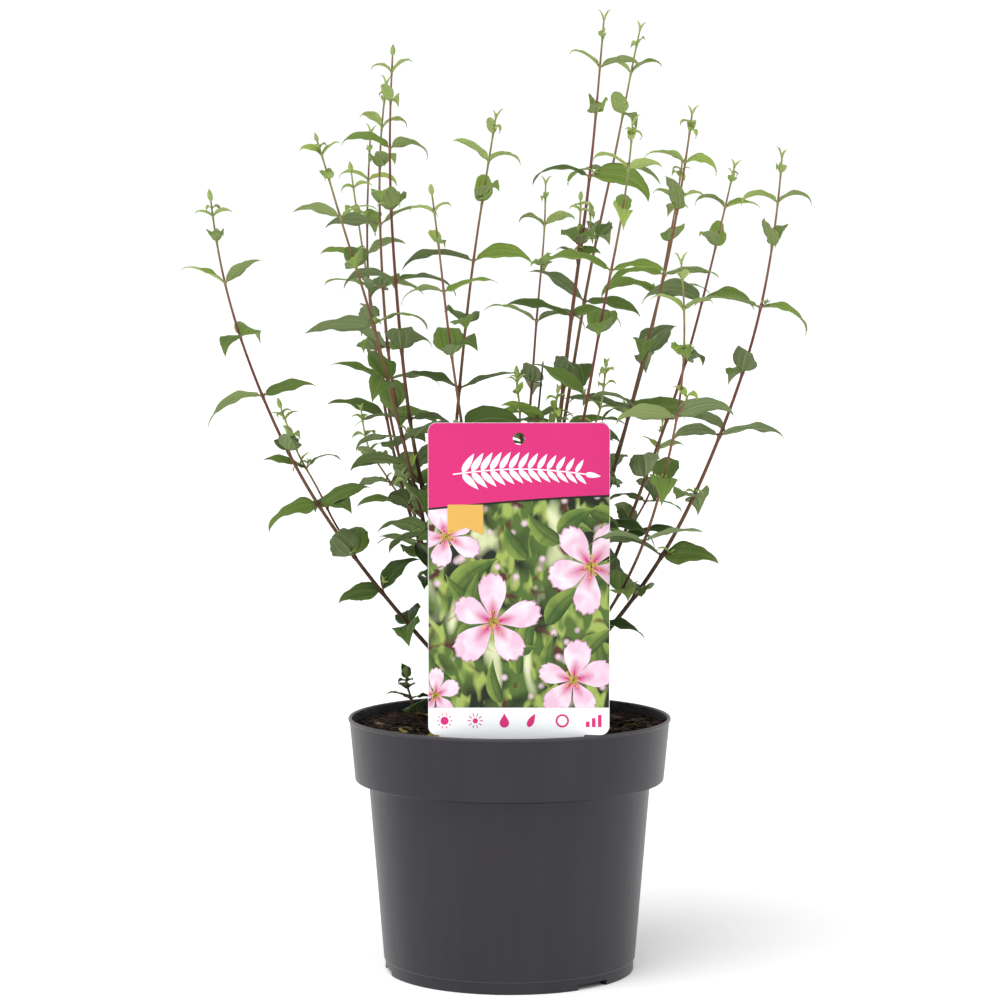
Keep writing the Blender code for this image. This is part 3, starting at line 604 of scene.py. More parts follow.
def tufts(twig, draw):
    """Growth finer than the solids': tiny shoots of four young leaves in some of the axils."""
    made = []
    for distance in twig.nodes[TUFT_FROM:]:
        point, way = twig.spine(distance)
        for leaf in twig.leaves:
            if (leaf.root - point).length > AT_NODE or draw.random() > TUFT_CHANCE:
                continue
            foot = point + leaf.out * twig.radius(distance) * TUFT_FOOT
            tip = foot + (way + leaf.out * TUFT_LEAN).normalized() * draw.uniform(*TUFT_LENGTH)
            pair = TUFT_PAIR * (tip - foot).length
            tuft = Twig(Path([foot, tip]), TUFT_GIRTH, 0, [pair], TUFT_TIP)
            turn = draw.uniform(0, 180)
            tuft.leaves = leaves_on(tuft, draw.uniform(*TUFT_LEAF), turn, draw)
            tuft.leaves += [replace(each, length=each.length * TUFT_BUD)
                            for each in bud_leaves(tuft, turn, draw)]
            made.append(tuft)
    return made


def tip_pair(twig, turn, draw):
    """A small hooked pair between a twig's folded tip and its first full pair."""
    top = twig.path.length
    point, way = twig.spine(top - TIP_PAIR * (top - twig.nodes[0]))
    pair = []
    for side in (0, pi):
        heading = radians(turn) + side + sway(draw, TIP_SPREAD)
        pair.append(Leaf(point, square_way(way, heading), way, draw.uniform(*TIP_LEAF),
                         rise=radians(draw.uniform(*TIP_RISE)),
                         droop=radians(draw.uniform(*TIP_DROOP)),
                         drift=sway(draw, TIP_SWAY), roll=sway(draw, TIP_SWAY),
                         broad=LEAF_WIDTH[0], age=BUD_AGE / 2))
    return pair


def tips_of(solid):
    """A solid's corners, to be searched for the tips of its leaves."""
    tips = KDTree(len(solid.vertices))
    for vertex in solid.vertices:
        tips.insert(vertex.co, vertex.index)
    tips.balance()
    return tips


def settled_leaf(leaf, solid_tips):
    """The leaf as its solid took its place: as planned, or turned or shortened to find room."""
    side = leaf.up.cross(leaf.out)
    for swing, shrink in TRIES:
        out = leaf.out * cos(swing) + side * sin(swing)
        tried = replace(leaf, out=out, length=leaf.length * shrink)
        if solid_tips.find(tried.line(SOLID_LEAF_STEPS)[-1][0])[2] < SAME_PLACE:
            return tried
    return None


# A grown stem: its line and bare length, its leafy twigs with its own length first, its tufts,
# and whether all its leaves are old
Growth = namedtuple("Growth", "path bare twigs tufts aged")


@cache
def growths():
    """Every stem of the shrub, grown by the rule and settled like its solid."""
    grown = []
    for number, stem in enumerate((*STEMS, SUCKER), 1):
        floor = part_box(f"stem_{number:02d}")[0][2]
        start = SUCKER_START if stem is SUCKER else STEM_START
        foot = Vector((stem.foot[0] * MM, stem.foot[1] * MM, floor))
        path = bent_path(foot, Vector(stem.tip) * MM, stem.elbow, UP * start, number)
        draw = random.Random(100 + number)
        bare = stem.bare * MM
        main = grow_twig(path, stem.girth, bare + LIMB_CLEAR, bare + LIMB_OVER, stem.gap * MM,
                         stem.leaf, stem.turn, draw)
        twigs = [main] + axil_twigs(main, stem.leaf, draw)
        twigs += [side_twig(main, shoot, 200 + index) for index, shoot in enumerate(SIDE_SHOOTS)
                  if shoot.stem == number]
        solid_tips = tips_of(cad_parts[f"shoot_{number:02d}"].data)
        for twig in twigs:
            settled = [settled_leaf(leaf, solid_tips) for leaf in twig.leaves]
            twig.leaves = [leaf for leaf in settled if leaf]
        if number == BARE_STEM:
            main.wither(BARE_FROM * path.length)
        if stem is SUCKER:
            main.leaves = [replace(leaf, broad=SUCKER_BROAD, roll=SUCKER_ROLL * leaf.roll)
                           for leaf in main.leaves]
            grown.append(Growth(path, bare, twigs, [], True))
            continue
        fine = random.Random(300 + number)
        small = [tuft for twig in twigs for tuft in tufts(twig, fine)]
        for twig in twigs:
            twig.leaves = [replace(leaf, length=leaf.length * CLOSED_BUD,
                                   broad=leaf.broad * CLOSED_BROAD)
                           if leaf.age < 0 else leaf for leaf in twig.leaves]
            if (len(twig.nodes) > 2 and fine.random() < TIP_CHANCE
                    and twig.living == twig.path.length):
                twig.leaves += tip_pair(twig, stem.turn + TIP_TURN, fine)
        grown.append(Growth(path, bare, twigs, small, False))
    return grown


# Making meshes

def linked(name, data):
    """A new object in the scene."""
    thing = bpy.data.objects.new(name, data)
    bpy.context.scene.collection.objects.link(thing)
    return thing


def outcome(thing):
    """The mesh that an object comes to, with its modifiers."""
    bpy.context.view_layer.update()
    return bpy.data.meshes.new_from_object(
        thing.evaluated_get(bpy.context.evaluated_depsgraph_get()))


class Heap:
    """Many small surfaces gathered into one mesh, each face with its own material slot."""

    def __init__(self):
        self.corners, self.quads, self.slots = [], [], []
        self.count = 0

    def add(self, corners, quads, slot):
        """Add a surface; slot is one number, or one number for each quad."""
        self.corners.append(corners)
        self.quads.append(quads + self.count)
        self.slots.append(np.broadcast_to(slot, len(quads)))
        self.count += len(corners)

    def mesh(self, name, smooth=True):
        """The whole heap as one mesh."""
        corners = np.concatenate(self.corners)
        quads = np.concatenate(self.quads)
        made = bpy.data.meshes.new(name)
        made.vertices.add(len(corners))
        made.vertices.foreach_set("co", corners.astype(np.float32).ravel())
        made.loops.add(quads.size)
        made.loops.foreach_set("vertex_index", quads.astype(np.int32).ravel())
        made.polygons.add(len(quads))
        made.polygons.foreach_set("loop_start", np.arange(0, quads.size, 4, dtype=np.int32))
        made.polygons.foreach_set("material_index",
                                  np.concatenate(self.slots).astype(np.int32))
        made.polygons.foreach_set("use_smooth", np.full(len(quads), smooth))
        made.update(calc_edges=True)
        return made


def put(name, mesh, materials, stands_for=()):
    """Place a mesh as one piece of the object, with its materials, on the plant's only body."""
    piece = linked(name, mesh)
    for each in materials:
        mesh.materials.append(each)
    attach(piece, "root")
    if stands_for:
        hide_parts(*stands_for)


def as_rows(vectors):
    """Vectors as the rows of an array."""
    return np.array([tuple(vector) for vector in vectors])


def grid_quads(rows, columns, closed=False):
    """Quads of a grid of rows by columns corners, closed round its columns or not."""
    r, c = np.meshgrid(np.arange(rows - 1), np.arange(columns if closed else columns - 1),
                       indexing="ij")
    right = (c + 1) % columns
    quads = np.stack([r * columns + c, r * columns + right, (r + 1) * columns + right,
                      (r + 1) * columns + c], axis=-1)
    return quads.reshape(-1, 4)


def beside(across, up, steps):
    """Flat points at steps in millimetres, across and up, from one point."""
    return [(across + x * MM, up + z * MM) for x, z in steps]


def frames_along(points):
    """Two directions across a line at each of its points, turning as little as they can."""
    ways = np.gradient(points, axis=0)
    ways /= np.linalg.norm(ways, axis=1, keepdims=True)
    lead = np.cross(ways[0], (0.31, 0.95, 0.07))
    firsts = []
    for way in ways:
        lead = lead - way * lead.dot(way)
        lead = lead / np.linalg.norm(lead)
        firsts.append(lead)
    firsts = np.array(firsts)
    return firsts, np.cross(ways, firsts)


def tube_surface(points, radii, sides):
    """A round tube along a line; radii has one number for each point, or one for each corner."""
    firsts, seconds = frames_along(points)
    turns = np.linspace(0, 2 * pi, sides, endpoint=False)
    radii = np.asarray(radii)
    if radii.ndim == 1:
        radii = radii[:, None]
    corners = points[:, None] + firsts[:, None] * (radii * np.cos(turns))[..., None] \
        + seconds[:, None] * (radii * np.sin(turns))[..., None]
    return corners.reshape(-1, 3), grid_quads(len(points), sides, closed=True)


def lathe_surface(profile, sides):
    """A surface of revolution about Z from (radius, height) points."""
    profile = np.array(profile)
    turns = np.linspace(0, 2 * pi, sides, endpoint=False)
    ring = np.stack([np.cos(turns), np.sin(turns), np.zeros(sides)], axis=1)
    corners = profile[:, None, :1] * ring + profile[:, None, 1:] * np.array([0, 0, 1.0])
    return corners.reshape(-1, 3), grid_quads(len(profile), sides, closed=True)


# Materials

def blended(a, b, part):
    """The colour that lies part of the way from a to b."""
    return tuple(x + (y - x) * part for x, y in zip(a, b))


def dimmed(colour, part):
    """A colour made darker, or lighter where the part is over 1."""
    return tuple(part * each for each in colour)


class Tree:
    """A shader node tree in the making."""

    def __init__(self, tree):
        self.nodes, self.links = tree.nodes, tree.links

    def feed(self, socket, value):
        """Link a socket to another node's socket, or set it to a plain value or colour."""
        if isinstance(value, bpy.types.NodeSocket):
            self.links.new(value, socket)
        else:
            socket.default_value = (*value, 1) if socket.type == "RGBA" else value

    def add(self, kind, feeds, **settings):
        """A new node with its settings, its inputs fed by name or number; gives its outputs."""
        node = self.nodes.new("ShaderNode" + kind)
        for name, value in settings.items():
            setattr(node, name, value)
        for name, value in feeds.items():
            self.feed(node.inputs[name], value)
        return node.outputs

    def place(self):
        """A point's place on the object, in metres."""
        return self.add("TexCoord", {})["Object"]


def fill_grain(tree, given):
    """Fine grain that can be drawn out along an axis, and broad patches of it."""
    drawn = tree.add("VectorMath", {0: tree.place(), 1: given["Draw out"]}, operation="MULTIPLY")
    return {out: tree.add("TexNoise", {"Vector": drawn[0], "Scale": given[scale],
                                       "Detail": 4})["Fac"]
            for scale, out in (("Scale", "Height"), ("Patch scale", "Patches"))}


def fill_cells(tree, given):
    """A net of fine veins between small cells, and a shade for each cell."""
    feeds = {"Vector": tree.place(), "Scale": given["Scale"]}
    edge = tree.add("TexVoronoi", feeds, feature="DISTANCE_TO_EDGE")["Distance"]
    veins = tree.add("MapRange", {"Value": edge, "From Max": given["Vein width"]})["Result"]
    shade = tree.add("SeparateColor", {"Color": tree.add("TexVoronoi", feeds)["Color"]})["Red"]
    return {"Veins": veins, "Shade": shade}


def fill_soft_patches(tree, given):
    """Soft round patches, as of things out of focus, at two sizes."""
    drawn = tree.add("VectorMath", {0: tree.place(), 1: given["Draw out"]}, operation="MULTIPLY")
    finer = tree.add("Math", {0: given["Scale"], 1: 2.3}, operation="MULTIPLY")[0]
    made = {out: tree.add("TexNoise", {"Vector": drawn[0], "Scale": scale, "Detail": 0.6,
                                       "Distortion": 0.7})["Fac"]
            for scale, out in ((given["Scale"], "Broad"), (finer, "Small"))}
    spots = tree.add("TexVoronoi", {"Vector": drawn[0], "Scale": finer}, feature="SMOOTH_F1")
    return {**made, "Discs": spots["Distance"]}


# The shared groups: what fills them, their inputs with defaults, and their outputs
GROUPS = {
    "Grain": (fill_grain, {"Scale": 900.0, "Draw out": (1, 1, 1), "Patch scale": 40.0},
              ("Height", "Patches")),
    "Cells": (fill_cells, {"Scale": 900.0, "Vein width": 0.12}, ("Veins", "Shade")),
    "Soft patches": (fill_soft_patches, {"Scale": 60.0, "Draw out": (1, 1, 1)},
                     ("Broad", "Small", "Discs")),
}


def shared_group(name):
    """A group with named sockets, made when it is first asked for."""
    if name in bpy.data.node_groups:
        return bpy.data.node_groups[name]
    fill, inputs, outputs = GROUPS[name]
    group = bpy.data.node_groups.new(name, "ShaderNodeTree")
    for label, default in inputs.items():
        kind = "NodeSocketFloat" if isinstance(default, float) else "NodeSocketVector"
        socket = group.interface.new_socket(name=label, in_out="INPUT", socket_type=kind)
        socket.default_value = default
    for label in outputs:
        group.interface.new_socket(name=label, in_out="OUTPUT", socket_type="NodeSocketFloat")
    tree = Tree(group)
    given = group.nodes.new("NodeGroupInput").outputs
    result = group.nodes.new("NodeGroupOutput").inputs
    for label, value in fill(tree, given).items():
        tree.feed(result[label], value)
    return group


class Finish(Tree):
    """A material in the making: its Principled shader and short ways to feed it."""

    def __init__(self, name, base, roughness, shine):
        self.material = bpy.data.materials.new(name)
        self.material.use_nodes = True
        super().__init__(self.material.node_tree)
        self.shader = self.nodes["Principled BSDF"].inputs
        self.paint(base)
        self.feed(self.shader["Roughness"], roughness)
        self.feed(self.shader["Specular IOR Level"], shine)

    def group(self, name, **values):
        """A shared group; an underscore in a label stands for its space."""
        feeds = {label.replace("_", " "): value for label, value in values.items()}
        return self.add("Group", feeds, node_tree=shared_group(name))

    def blend(self, mask, low, high, first, second):
        """Mix two colours by a mask that runs from low to high."""
        span = self.add("MapRange", {"Value": mask, "From Min": low, "From Max": high})
        feeds = {"Factor": span["Result"], 6: first, 7: second}
        return self.add("Mix", feeds, data_type="RGBA")[2]

    def paint(self, colour):
        """Set or link the base colour."""
        self.feed(self.shader["Base Color"], colour)

    def dull(self, mask, low, high):
        """Let the roughness run from low to high with a mask."""
        span = self.add("MapRange", {"Value": mask, "To Min": low, "To Max": high})
        self.feed(self.shader["Roughness"], span["Result"])

    def emboss(self, height, depth, strength=1.0):
        """Let a height show as fine relief."""
        bump = self.add("Bump", {"Height": height, "Distance": depth, "Strength": strength})
        self.feed(self.shader["Normal"], bump["Normal"])


def pot_plastic(pot):
    """Streaked and dusty plastic, with painted highlights: a pale band along the lip and another
    round the step of the foot.
    """
    made = Finish("Pot plastic", pot.plastic, pot.roughness, 0.36)
    streaks = made.group("Grain", Scale=420, Draw_out=(1, 1, 0.03), Patch_scale=60)
    dust = made.group("Grain", Scale=2600, Patch_scale=900)
    streaky = made.blend(streaks["Patches"], 0.42, 0.66, pot.plastic,
                         blended(pot.plastic, pot.worn, 0.15))
    dusty = made.blend(dust["Patches"], 0.68, 0.76, streaky, pot.worn)
    height = made.add("SeparateXYZ", {0: made.place()})["Z"]
    # Painted highlight: the pale lip colour in a band along the top of the lip.
    lip_highlighted = made.blend(height, pot.height - 2.2 * MM, pot.height - 0.7 * MM, dusty, pot.lip)
    # Painted highlight: the same pale colour in a thin band round the step of the foot, a line of
    # light painted on.
    step = made.add("Math", {0: height, 1: STEP_HEIGHT, 2: 0.35 * MM}, operation="COMPARE")[0]
    made.paint(made.blend(step, 0, 1, lip_highlighted, pot.lip))
    made.dull(streaks["Height"], pot.roughness - 0.08, pot.roughness + 0.06)
    made.emboss(streaks["Height"], 0.05 * MM, 0.4)
    return made.material


def inside_shade_plastic(pot):
    """The pot's inside, with painted shade: much darker than the outside, in patches lighter
    towards the plain plastic.
    """
    made = Finish("Shaded plastic", pot.inner, 0.6, 0.2)
    grime = made.group("Grain", Scale=900, Patch_scale=140)
    made.paint(made.blend(grime["Patches"], 0.45, 0.75, pot.inner, pot.plastic))
    made.emboss(grime["Height"], 0.1 * MM, 0.5)
    return made.material


def soil_finish(soil):
    """Moist peat with drier patches and flecks of bark."""
    made = Finish("Potting soil", soil.peat, 0.95, 0.15)
    crumbs = made.group("Grain", Scale=520, Patch_scale=130)
    cells = made.group("Cells", Scale=420, Vein_width=0.35)
    dry = made.blend(crumbs["Patches"], 0.50, 0.72, soil.peat, soil.crumb)
    made.paint(made.blend(cells["Shade"], 0.72, 1.2, dry, soil.chip))
    made.emboss(crumbs["Height"], 1.2 * MM)
    return made.material


def litter_finish(name, base, shade, scale):
    """Bark chips, fibres and dead leaves: one colour broken by a darker grain."""
    made = Finish(name, base, 0.85, 0.3)
    grain = made.group("Grain", Scale=scale, Patch_scale=scale / 6)
    made.paint(made.blend(grain["Patches"], 0.35, 0.68, dimmed(base, shade), base))
    made.emboss(grain["Height"], 0.4 * MM)
    return made.material


def printed(name, base):
    """A plain printed colour on smooth, slightly buckled plastic sheet."""
    made = Finish(name, base, *PRINT_GLOSS)
    buckles = made.group("Grain", Scale=1400, Patch_scale=16)
    made.emboss(buckles["Patches"], 0.8 * MM, 0.35)
    return made.material


def soft_picture():
    """Leaves out of focus: greens in soft patches, with dark gaps and a few pale lights."""
    made = Finish("Soft foliage print", (0.2, 0.3, 0.08), *PRINT_GLOSS)
    patches = made.group("Soft patches", Scale=44)
    slanted = made.group("Soft patches", Scale=52, Draw_out=(1.3, 1.0, 0.65))
    tone = (0.014, 0.020, 0.010)
    for mask, low, high, colour in (
            (patches["Broad"], 0.42, 0.62, (0.085, 0.150, 0.032)),
            (slanted["Small"], 0.50, 0.66, (0.33, 0.43, 0.10)),
            (slanted["Broad"], 0.58, 0.72, (0.70, 0.74, 0.44)),
            (patches["Small"], 0.60, 0.72, (0.085, 0.028, 0.022)),
            (patches["Discs"], 0.24, 0.08, (0.76, 0.55, 0.64))):
        tone = made.blend(mask, low, high, tone, colour)
    made.paint(tone)
    return made.material


def toned_print(name, first, second, low, high, grain_colour):
    """A print that runs between two colours by the tone laid on its points, lightly mottled."""
    made = Finish(name, second, *PRINT_GLOSS)
    soft = made.group("Soft patches", Scale=110)
    mottled = made.blend(soft["Broad"], 0.35, 0.70, second, grain_colour)
    tone = made.add("Attribute", {}, attribute_name="tone")["Fac"]
    made.paint(made.blend(tone, low, high, first, mottled))
    return made.material


def bark_finish(stems):
    """Old bark: dark furrows, and reddish wood between them."""
    made = Finish("Young bark", stems.bark, 0.7, 0.2)
    fissures = made.group("Grain", Scale=900, Draw_out=(1, 1, 0.16), Patch_scale=260)
    cells = made.group("Cells", Scale=620, Vein_width=0.2)
    worn = made.blend(fissures["Patches"], 0.38, 0.62, stems.furrow, stems.bark)
    made.paint(made.blend(cells["Shade"], 0.6, 1.2, worn, stems.red))
    made.dull(fissures["Height"], 0.6, 0.85)
    made.emboss(fissures["Height"], 0.25 * MM)
    return made.material


def skin_finish(name, base):
    """The smooth skin of an upper stem, with the fine lengthwise grain of new wood."""
    made = Finish(name, base, 0.5, 0.2)
    grain = made.group("Grain", Scale=1300, Draw_out=(1, 1, 0.12), Patch_scale=200)
    made.emboss(grain["Height"], 0.08 * MM, 0.6)
    return made.material


def blade_finish(name, base, roughness):
    """One side of a leaf: the small veins show as a net of faint relief."""
    made = Finish(name, base, roughness, 0.15)
    cells = made.group("Cells", Scale=620, Vein_width=0.2)
    made.emboss(cells["Veins"], 0.02 * MM, 0.2)
    return made.material


# The pot

def pot_outside(pot):
    """Down the outside from the rim and under the floor to the axis, with eased edges."""
    low, inner = pot.height - pot.band_height, pot.foot_radius - FOOT_WIDTH
    return [
        *beside(pot.rim_radius, pot.height, (
            (-1.5, -0.15), (-0.9, 0), (-0.35, -0.15), (0, -0.8), (0, -1.5), (-0.3, -2.1),
            (-0.75, -2.5), (-0.85, -3.2))),
        *beside(pot.band_radius, low, ((0, 0.9), (-0.15, 0.35), (-0.6, 0), (-1.6, -0.1))),
        *beside(pot.shoulder_radius, low, ((1.8, -0.5), (0.5, -1.1), (0, -2.5))),
        *beside(pot.heel_radius, 0, ((0, 8.2), (-0.1, 7.4), (-0.5, 6.9))),
        *beside(pot.foot_radius, 0, ((0.1, 6.7), (0, 6.0), (0, 0.8), (-0.25, 0.2), (-0.8, 0))),
        *beside(inner, 0, ((0.6, 0), (0, 0.5))),
        *beside(inner, FLOOR_LIFT, ((-1.5, -0.4), (-2.2, 0))),
        *beside(PAD_RADIUS, FLOOR_LIFT, ((2, 0), (1.4, -0.4))),
        *beside(PAD_RADIUS, 0, ((0, 0.3), (-0.4, 0))),
        (0, 0)]


def pot_inside(pot):
    """From the axis over the floor and up the inside to the top of the rim."""
    low, floor = pot.height - pot.band_height, FLOOR_LIFT + FLOOR_THICK
    return [
        (0, floor),
        *beside(pot.heel_radius - pot.wall, floor, ((-2.6, 0), (-1.5, 1))),
        *beside(pot.shoulder_radius - pot.wall, low, [(0, -2.5)]),
        *beside(pot.band_radius - pot.wall, low, ((-2, 0.5), (0, 1.2))),
        *beside(pot.rim_radius, pot.height, ((-2.4, -3), (-2.0, -0.8), (-1.5, -0.15)))]


def eased(profile):
    """A profile with long straight stretches divided, so that shading stays even."""
    spots = [profile[0]]
    for (r0, z0), (r1, z1) in zip(profile, profile[1:]):
        parts = max(1, round(hypot(r1 - r0, z1 - z0) / PROFILE_STEP))
        spots += [(r0 + (r1 - r0) * n / parts, z0 + (z1 - z0) * n / parts)
                  for n in range(1, parts + 1)]
    return spots


def cut_away(name, mesh, boxes, holes):
    """A mesh with notches (matrix, size) and round holes (place, radius) cut out of it."""
    work = bmesh.new()
    for matrix, extent in boxes:
        bmesh.ops.create_cube(work, size=1, matrix=matrix @ Matrix.Diagonal((*extent, 1)))
    for place, radius in holes:
        bmesh.ops.create_cone(work, cap_ends=True, segments=28, radius1=radius, radius2=radius,
                              depth=12 * MM, matrix=Matrix.Translation(place))
    tool_mesh = bpy.data.meshes.new(f"{name} cuts")
    work.to_mesh(tool_mesh)
    work.free()
    body, tool = linked(name, mesh), linked(f"{name} cuts", tool_mesh)
    boolean = body.modifiers.new("Cuts", "BOOLEAN")
    boolean.operation = "DIFFERENCE"
    boolean.solver = "EXACT"
    boolean.object = tool
    made = outcome(body)
    for thing in (body, tool):
        bpy.data.objects.remove(thing)
    return made


def welded(mesh, limit=CRISP_EDGE):
    """Join corners that lie together, and keep edges crisp where the surface turns sharply."""
    work = bmesh.new()
    work.from_mesh(mesh)
    bmesh.ops.remove_doubles(work, verts=work.verts, dist=WELD)
    for face in work.faces:
        face.smooth = True
    for edge in work.edges:
        edge.smooth = len(edge.link_faces) != 2 or edge.calc_face_angle(0) < limit
    work.to_mesh(mesh)
    work.free()


class SHRUB_OT_pot(bpy.types.Operator):
    """Turn the pot, notch its foot and drill its drain holes"""
    bl_idname = "shrub.pot"
    bl_label = "Nursery pot"

    def execute(self, context):
        pot = context.scene.shrub_pot
        heap = Heap()
        heap.add(*lathe_surface(eased(pot_outside(pot)), POT_SIDES), 0)
        heap.add(*lathe_surface(pot_inside(pot), POT_SIDES), 0)
        mesh = heap.mesh("nursery_pot")
        welded(mesh)
        notches = []
        for index in range(3):
            turn = Matrix.Rotation(radians(FIRST_NOTCH + 120 * index), 4, "Z")
            middle = Matrix.Translation((pot.foot_radius - FOOT_WIDTH / 2, 0, 0))
            notches.append((turn @ middle, (FOOT_WIDTH * 4, *NOTCH_SIZE)))
        drains = [((*polar(DRAIN_RING, 2 * pi * index / DRAIN_COUNT), FLOOR_LIFT + 1 * MM),
                   DRAIN_RADIUS) for index in range(DRAIN_COUNT)]
        mesh = cut_away("nursery_pot", mesh, notches, drains)
        welded(mesh)
        # Inward faces between the floor and the rim take the second material, the painted shade of
        # the inside.
        for face in mesh.polygons:
            inward = face.normal.x * face.center.x + face.normal.y * face.center.y < 0
            deep = FLOOR_LIFT + FLOOR_THICK < face.center.z < pot.height - 1.5 * MM
            face.material_index = int(inward and deep)
        put("nursery_pot", mesh, [pot_plastic(pot), inside_shade_plastic(pot)], ["pot"])
        return {"FINISHED"}


# The soil

def soil_height(soil, x, y, edge):
    """Height of the soil's surface at a place: crumbly, and banked up against the wall."""
    rise = soil.bank * np.interp(hypot(x, y) / edge, *SOIL_BANK)
    low = noise.noise(Vector((x * 38, y * 38, 2.0)))
    fine = noise.fractal(Vector((x * 210, y * 210, 5.0)), 0.8, 2.1, 4)
    return soil.top - soil.bank + rise - 0.4 * soil.dip + soil.dip * low + 1.5 * MM * fine


def soil_edge(pot, soil):
    """Radius of the pot's inside at the soil's surface, less a hair."""
    band_low = pot.height - pot.band_height
    part = (soil.top - band_low) / pot.band_height
    return pot.band_radius - pot.wall + part * (pot.rim_radius - 0.4 * MM - pot.band_radius) \
        - SOIL_CLEAR


class SHRUB_OT_soil(bpy.types.Operator):
    """Fill the pot with crumbly soil"""
    bl_idname = "shrub.soil"
    bl_label = "Potting soil"

    def execute(self, context):
        pot, soil = context.scene.shrub_pot, context.scene.shrub_soil
        edge = soil_edge(pot, soil)
        turns = np.linspace(0, 2 * pi, SOIL_SIDES, endpoint=False)
        corners = []
        for ring in range(SOIL_RINGS):
            radius = edge * max(0.003, ring / (SOIL_RINGS - 1))
            for turn in turns:
                x, y = polar(radius, turn)
                corners.append((x, y, soil_height(soil, x, y, edge)))
        band_low = pot.height - pot.band_height
        bottom = FLOOR_LIFT + FLOOR_THICK + 0.4 * MM
        under = ((pot.band_radius - pot.wall - SOIL_CLEAR, band_low + 2 * MM),
                 (pot.shoulder_radius - pot.wall - SOIL_CLEAR, band_low - 3 * MM),
                 (pot.heel_radius - pot.wall - 2.4 * MM, bottom), (0.1 * MM, bottom))
        corners += [(*polar(radius, turn), height) for radius, height in under for turn in turns]
        heap = Heap()
        quads = grid_quads(SOIL_RINGS + len(under), SOIL_SIDES, closed=True)
        heap.add(np.array(corners), quads[:, ::-1], 0)
        put("soil_fill", heap.mesh("soil_fill"), [soil_finish(soil)], ["soil"])
        return {"FINISHED"}


def lump(draw, place, length, width, flat):
    """An irregular chip or crumb lying at a place, tilted a little."""
    rings, sides = LUMP_GRID
    heading, tilt = draw.uniform(0, 2 * pi), sway(draw, 0.35)
    way = np.array([cos(heading) * cos(tilt), sin(heading) * cos(tilt), sin(tilt)])
    spots = np.linspace(-0.5, 0.5, rings)
    points = np.array(place) + spots[:, None] * way * length
    swell = np.sqrt(np.maximum(0.02, 1 - (1.85 * spots) ** 2))
    radii = np.array([[width / 2 * swell[r] * draw.uniform(0.6, 1.25) for _ in range(sides)]
                      for r in range(rings)])
    corners, quads = tube_surface(points, radii, sides)
    corners[:, 2] = place[2] + (corners[:, 2] - place[2]) * flat
    return corners, quads


def strand(draw, place, length, radius, lift):
    """A short curved fibre lying at a place."""
    heading = draw.uniform(0, 2 * pi)
    bend = sway(draw, 1.6)
    points = []
    spot = np.array(place, float)
    for step in range(STRAND_STEPS + 1):
        points.append(spot.copy())
        spot[:2] += length / STRAND_STEPS * np.array(polar(1, heading))
        spot[2] = place[2] + lift * sin(pi * (step + 1) / STRAND_STEPS)
        heading += bend / STRAND_STEPS
    return tube_surface(np.array(points), np.full(STRAND_STEPS + 1, radius), 4)


class SHRUB_OT_litter(bpy.types.Operator):
    """Strew bark chips, fibres and a few fallen leaves over the soil"""
    bl_idname = "shrub.litter"
    bl_label = "Chips and fibres"

    def execute(self, context):
        pot, soil = context.scene.shrub_pot, context.scene.shrub_soil
        edge = soil_edge(pot, soil)
        draw = random.Random(7)
        chips, fibres = Heap(), Heap()

        def spot(margin):
            """A random place on the soil's surface, clear of the wall."""
            radius = (edge - margin) * sqrt(draw.random())
            x, y = polar(radius, draw.uniform(0, 2 * pi))
            return x, y, soil_height(soil, x, y, edge)

        for count, sizes, widths, flats, tones in (
                (soil.crumbs, (1.4, 4.5), (0.45, 0.85), (0.45, 0.9), (0, 1, 1, 1, 1, 1, 1, 2)),
                (soil.chips, (5, 15), (0.28, 0.55), (0.25, 0.5), (0, 0, 1, 1, 1, 2, 3))):
            for _ in range(count):
                length = draw.uniform(*sizes) * MM
                x, y, z = spot(length / 2 + 0.6 * MM)
                width = length * draw.uniform(*widths)
                flat = draw.uniform(*flats)
                corners, quads = lump(draw, (x, y, z + 0.3 * width * flat), length, width, flat)
                chips.add(corners, quads, draw.choice(tones))
        for _ in range(soil.fibres):
            length = draw.uniform(5, 16) * MM
            x, y, z = spot(length)
            fibres.add(*strand(draw, (x, y, z + 0.5 * MM), length, draw.uniform(0.09, 0.2) * MM,
                               draw.uniform(0, 1.6) * MM), draw.choice((0, 0, 1)))
        for turn, up in LIP_CRUMBS:
            length = draw.uniform(2.2, 4.5) * MM
            radius = pot.rim_radius - 2.3 * MM - length / 2
            place = (*polar(radius, radians(turn)), pot.height - 1.2 * MM + up * MM)
            chips.add(*lump(draw, place, length, length * 0.55, 0.6), 1)
        bark = [litter_finish("Bark chips", soil.chip, 0.40, 1500),
                litter_finish("Dark bark chips", dimmed(soil.chip, 0.16), 0.4, 1500),
                litter_finish("Weathered chips", dimmed(soil.fibre, 0.5), 0.4, 1500),
                litter_finish("Pale slivers", dimmed(soil.fibre, 1.3), 0.5, 1500)]
        put("bark_chips", chips.mesh("bark_chips", smooth=False), bark)
        straw = [litter_finish("Peat fibres", soil.fibre, 0.45, 2200),
                 litter_finish("Dark peat fibres", dimmed(soil.fibre, 0.2), 0.5, 2200)]
        put("peat_fibres", fibres.mesh("peat_fibres"), straw)
        fallen = Heap()
        for x, y, heading, length in FALLEN:
            place = Vector((x * MM, y * MM, soil_height(soil, x * MM, y * MM, edge) + 2.2 * MM))
            dead = Leaf(place, level_way(radians(heading)), UP, length * MM, rise=0.25,
                        droop=0.7, drift=0.4, roll=0.3, broad=0.42, age=0.8)
            corners, quads, _ = blade_surface(dead, context.scene.shrub_leaves, draw)
            fallen.add(corners, quads, 0)
        put("fallen_leaves", fallen.mesh("fallen_leaves"),
            [litter_finish("Yellowed leaf", (0.34, 0.27, 0.045), 0.55, 900)])
        return {"FINISHED"}


# The picture card

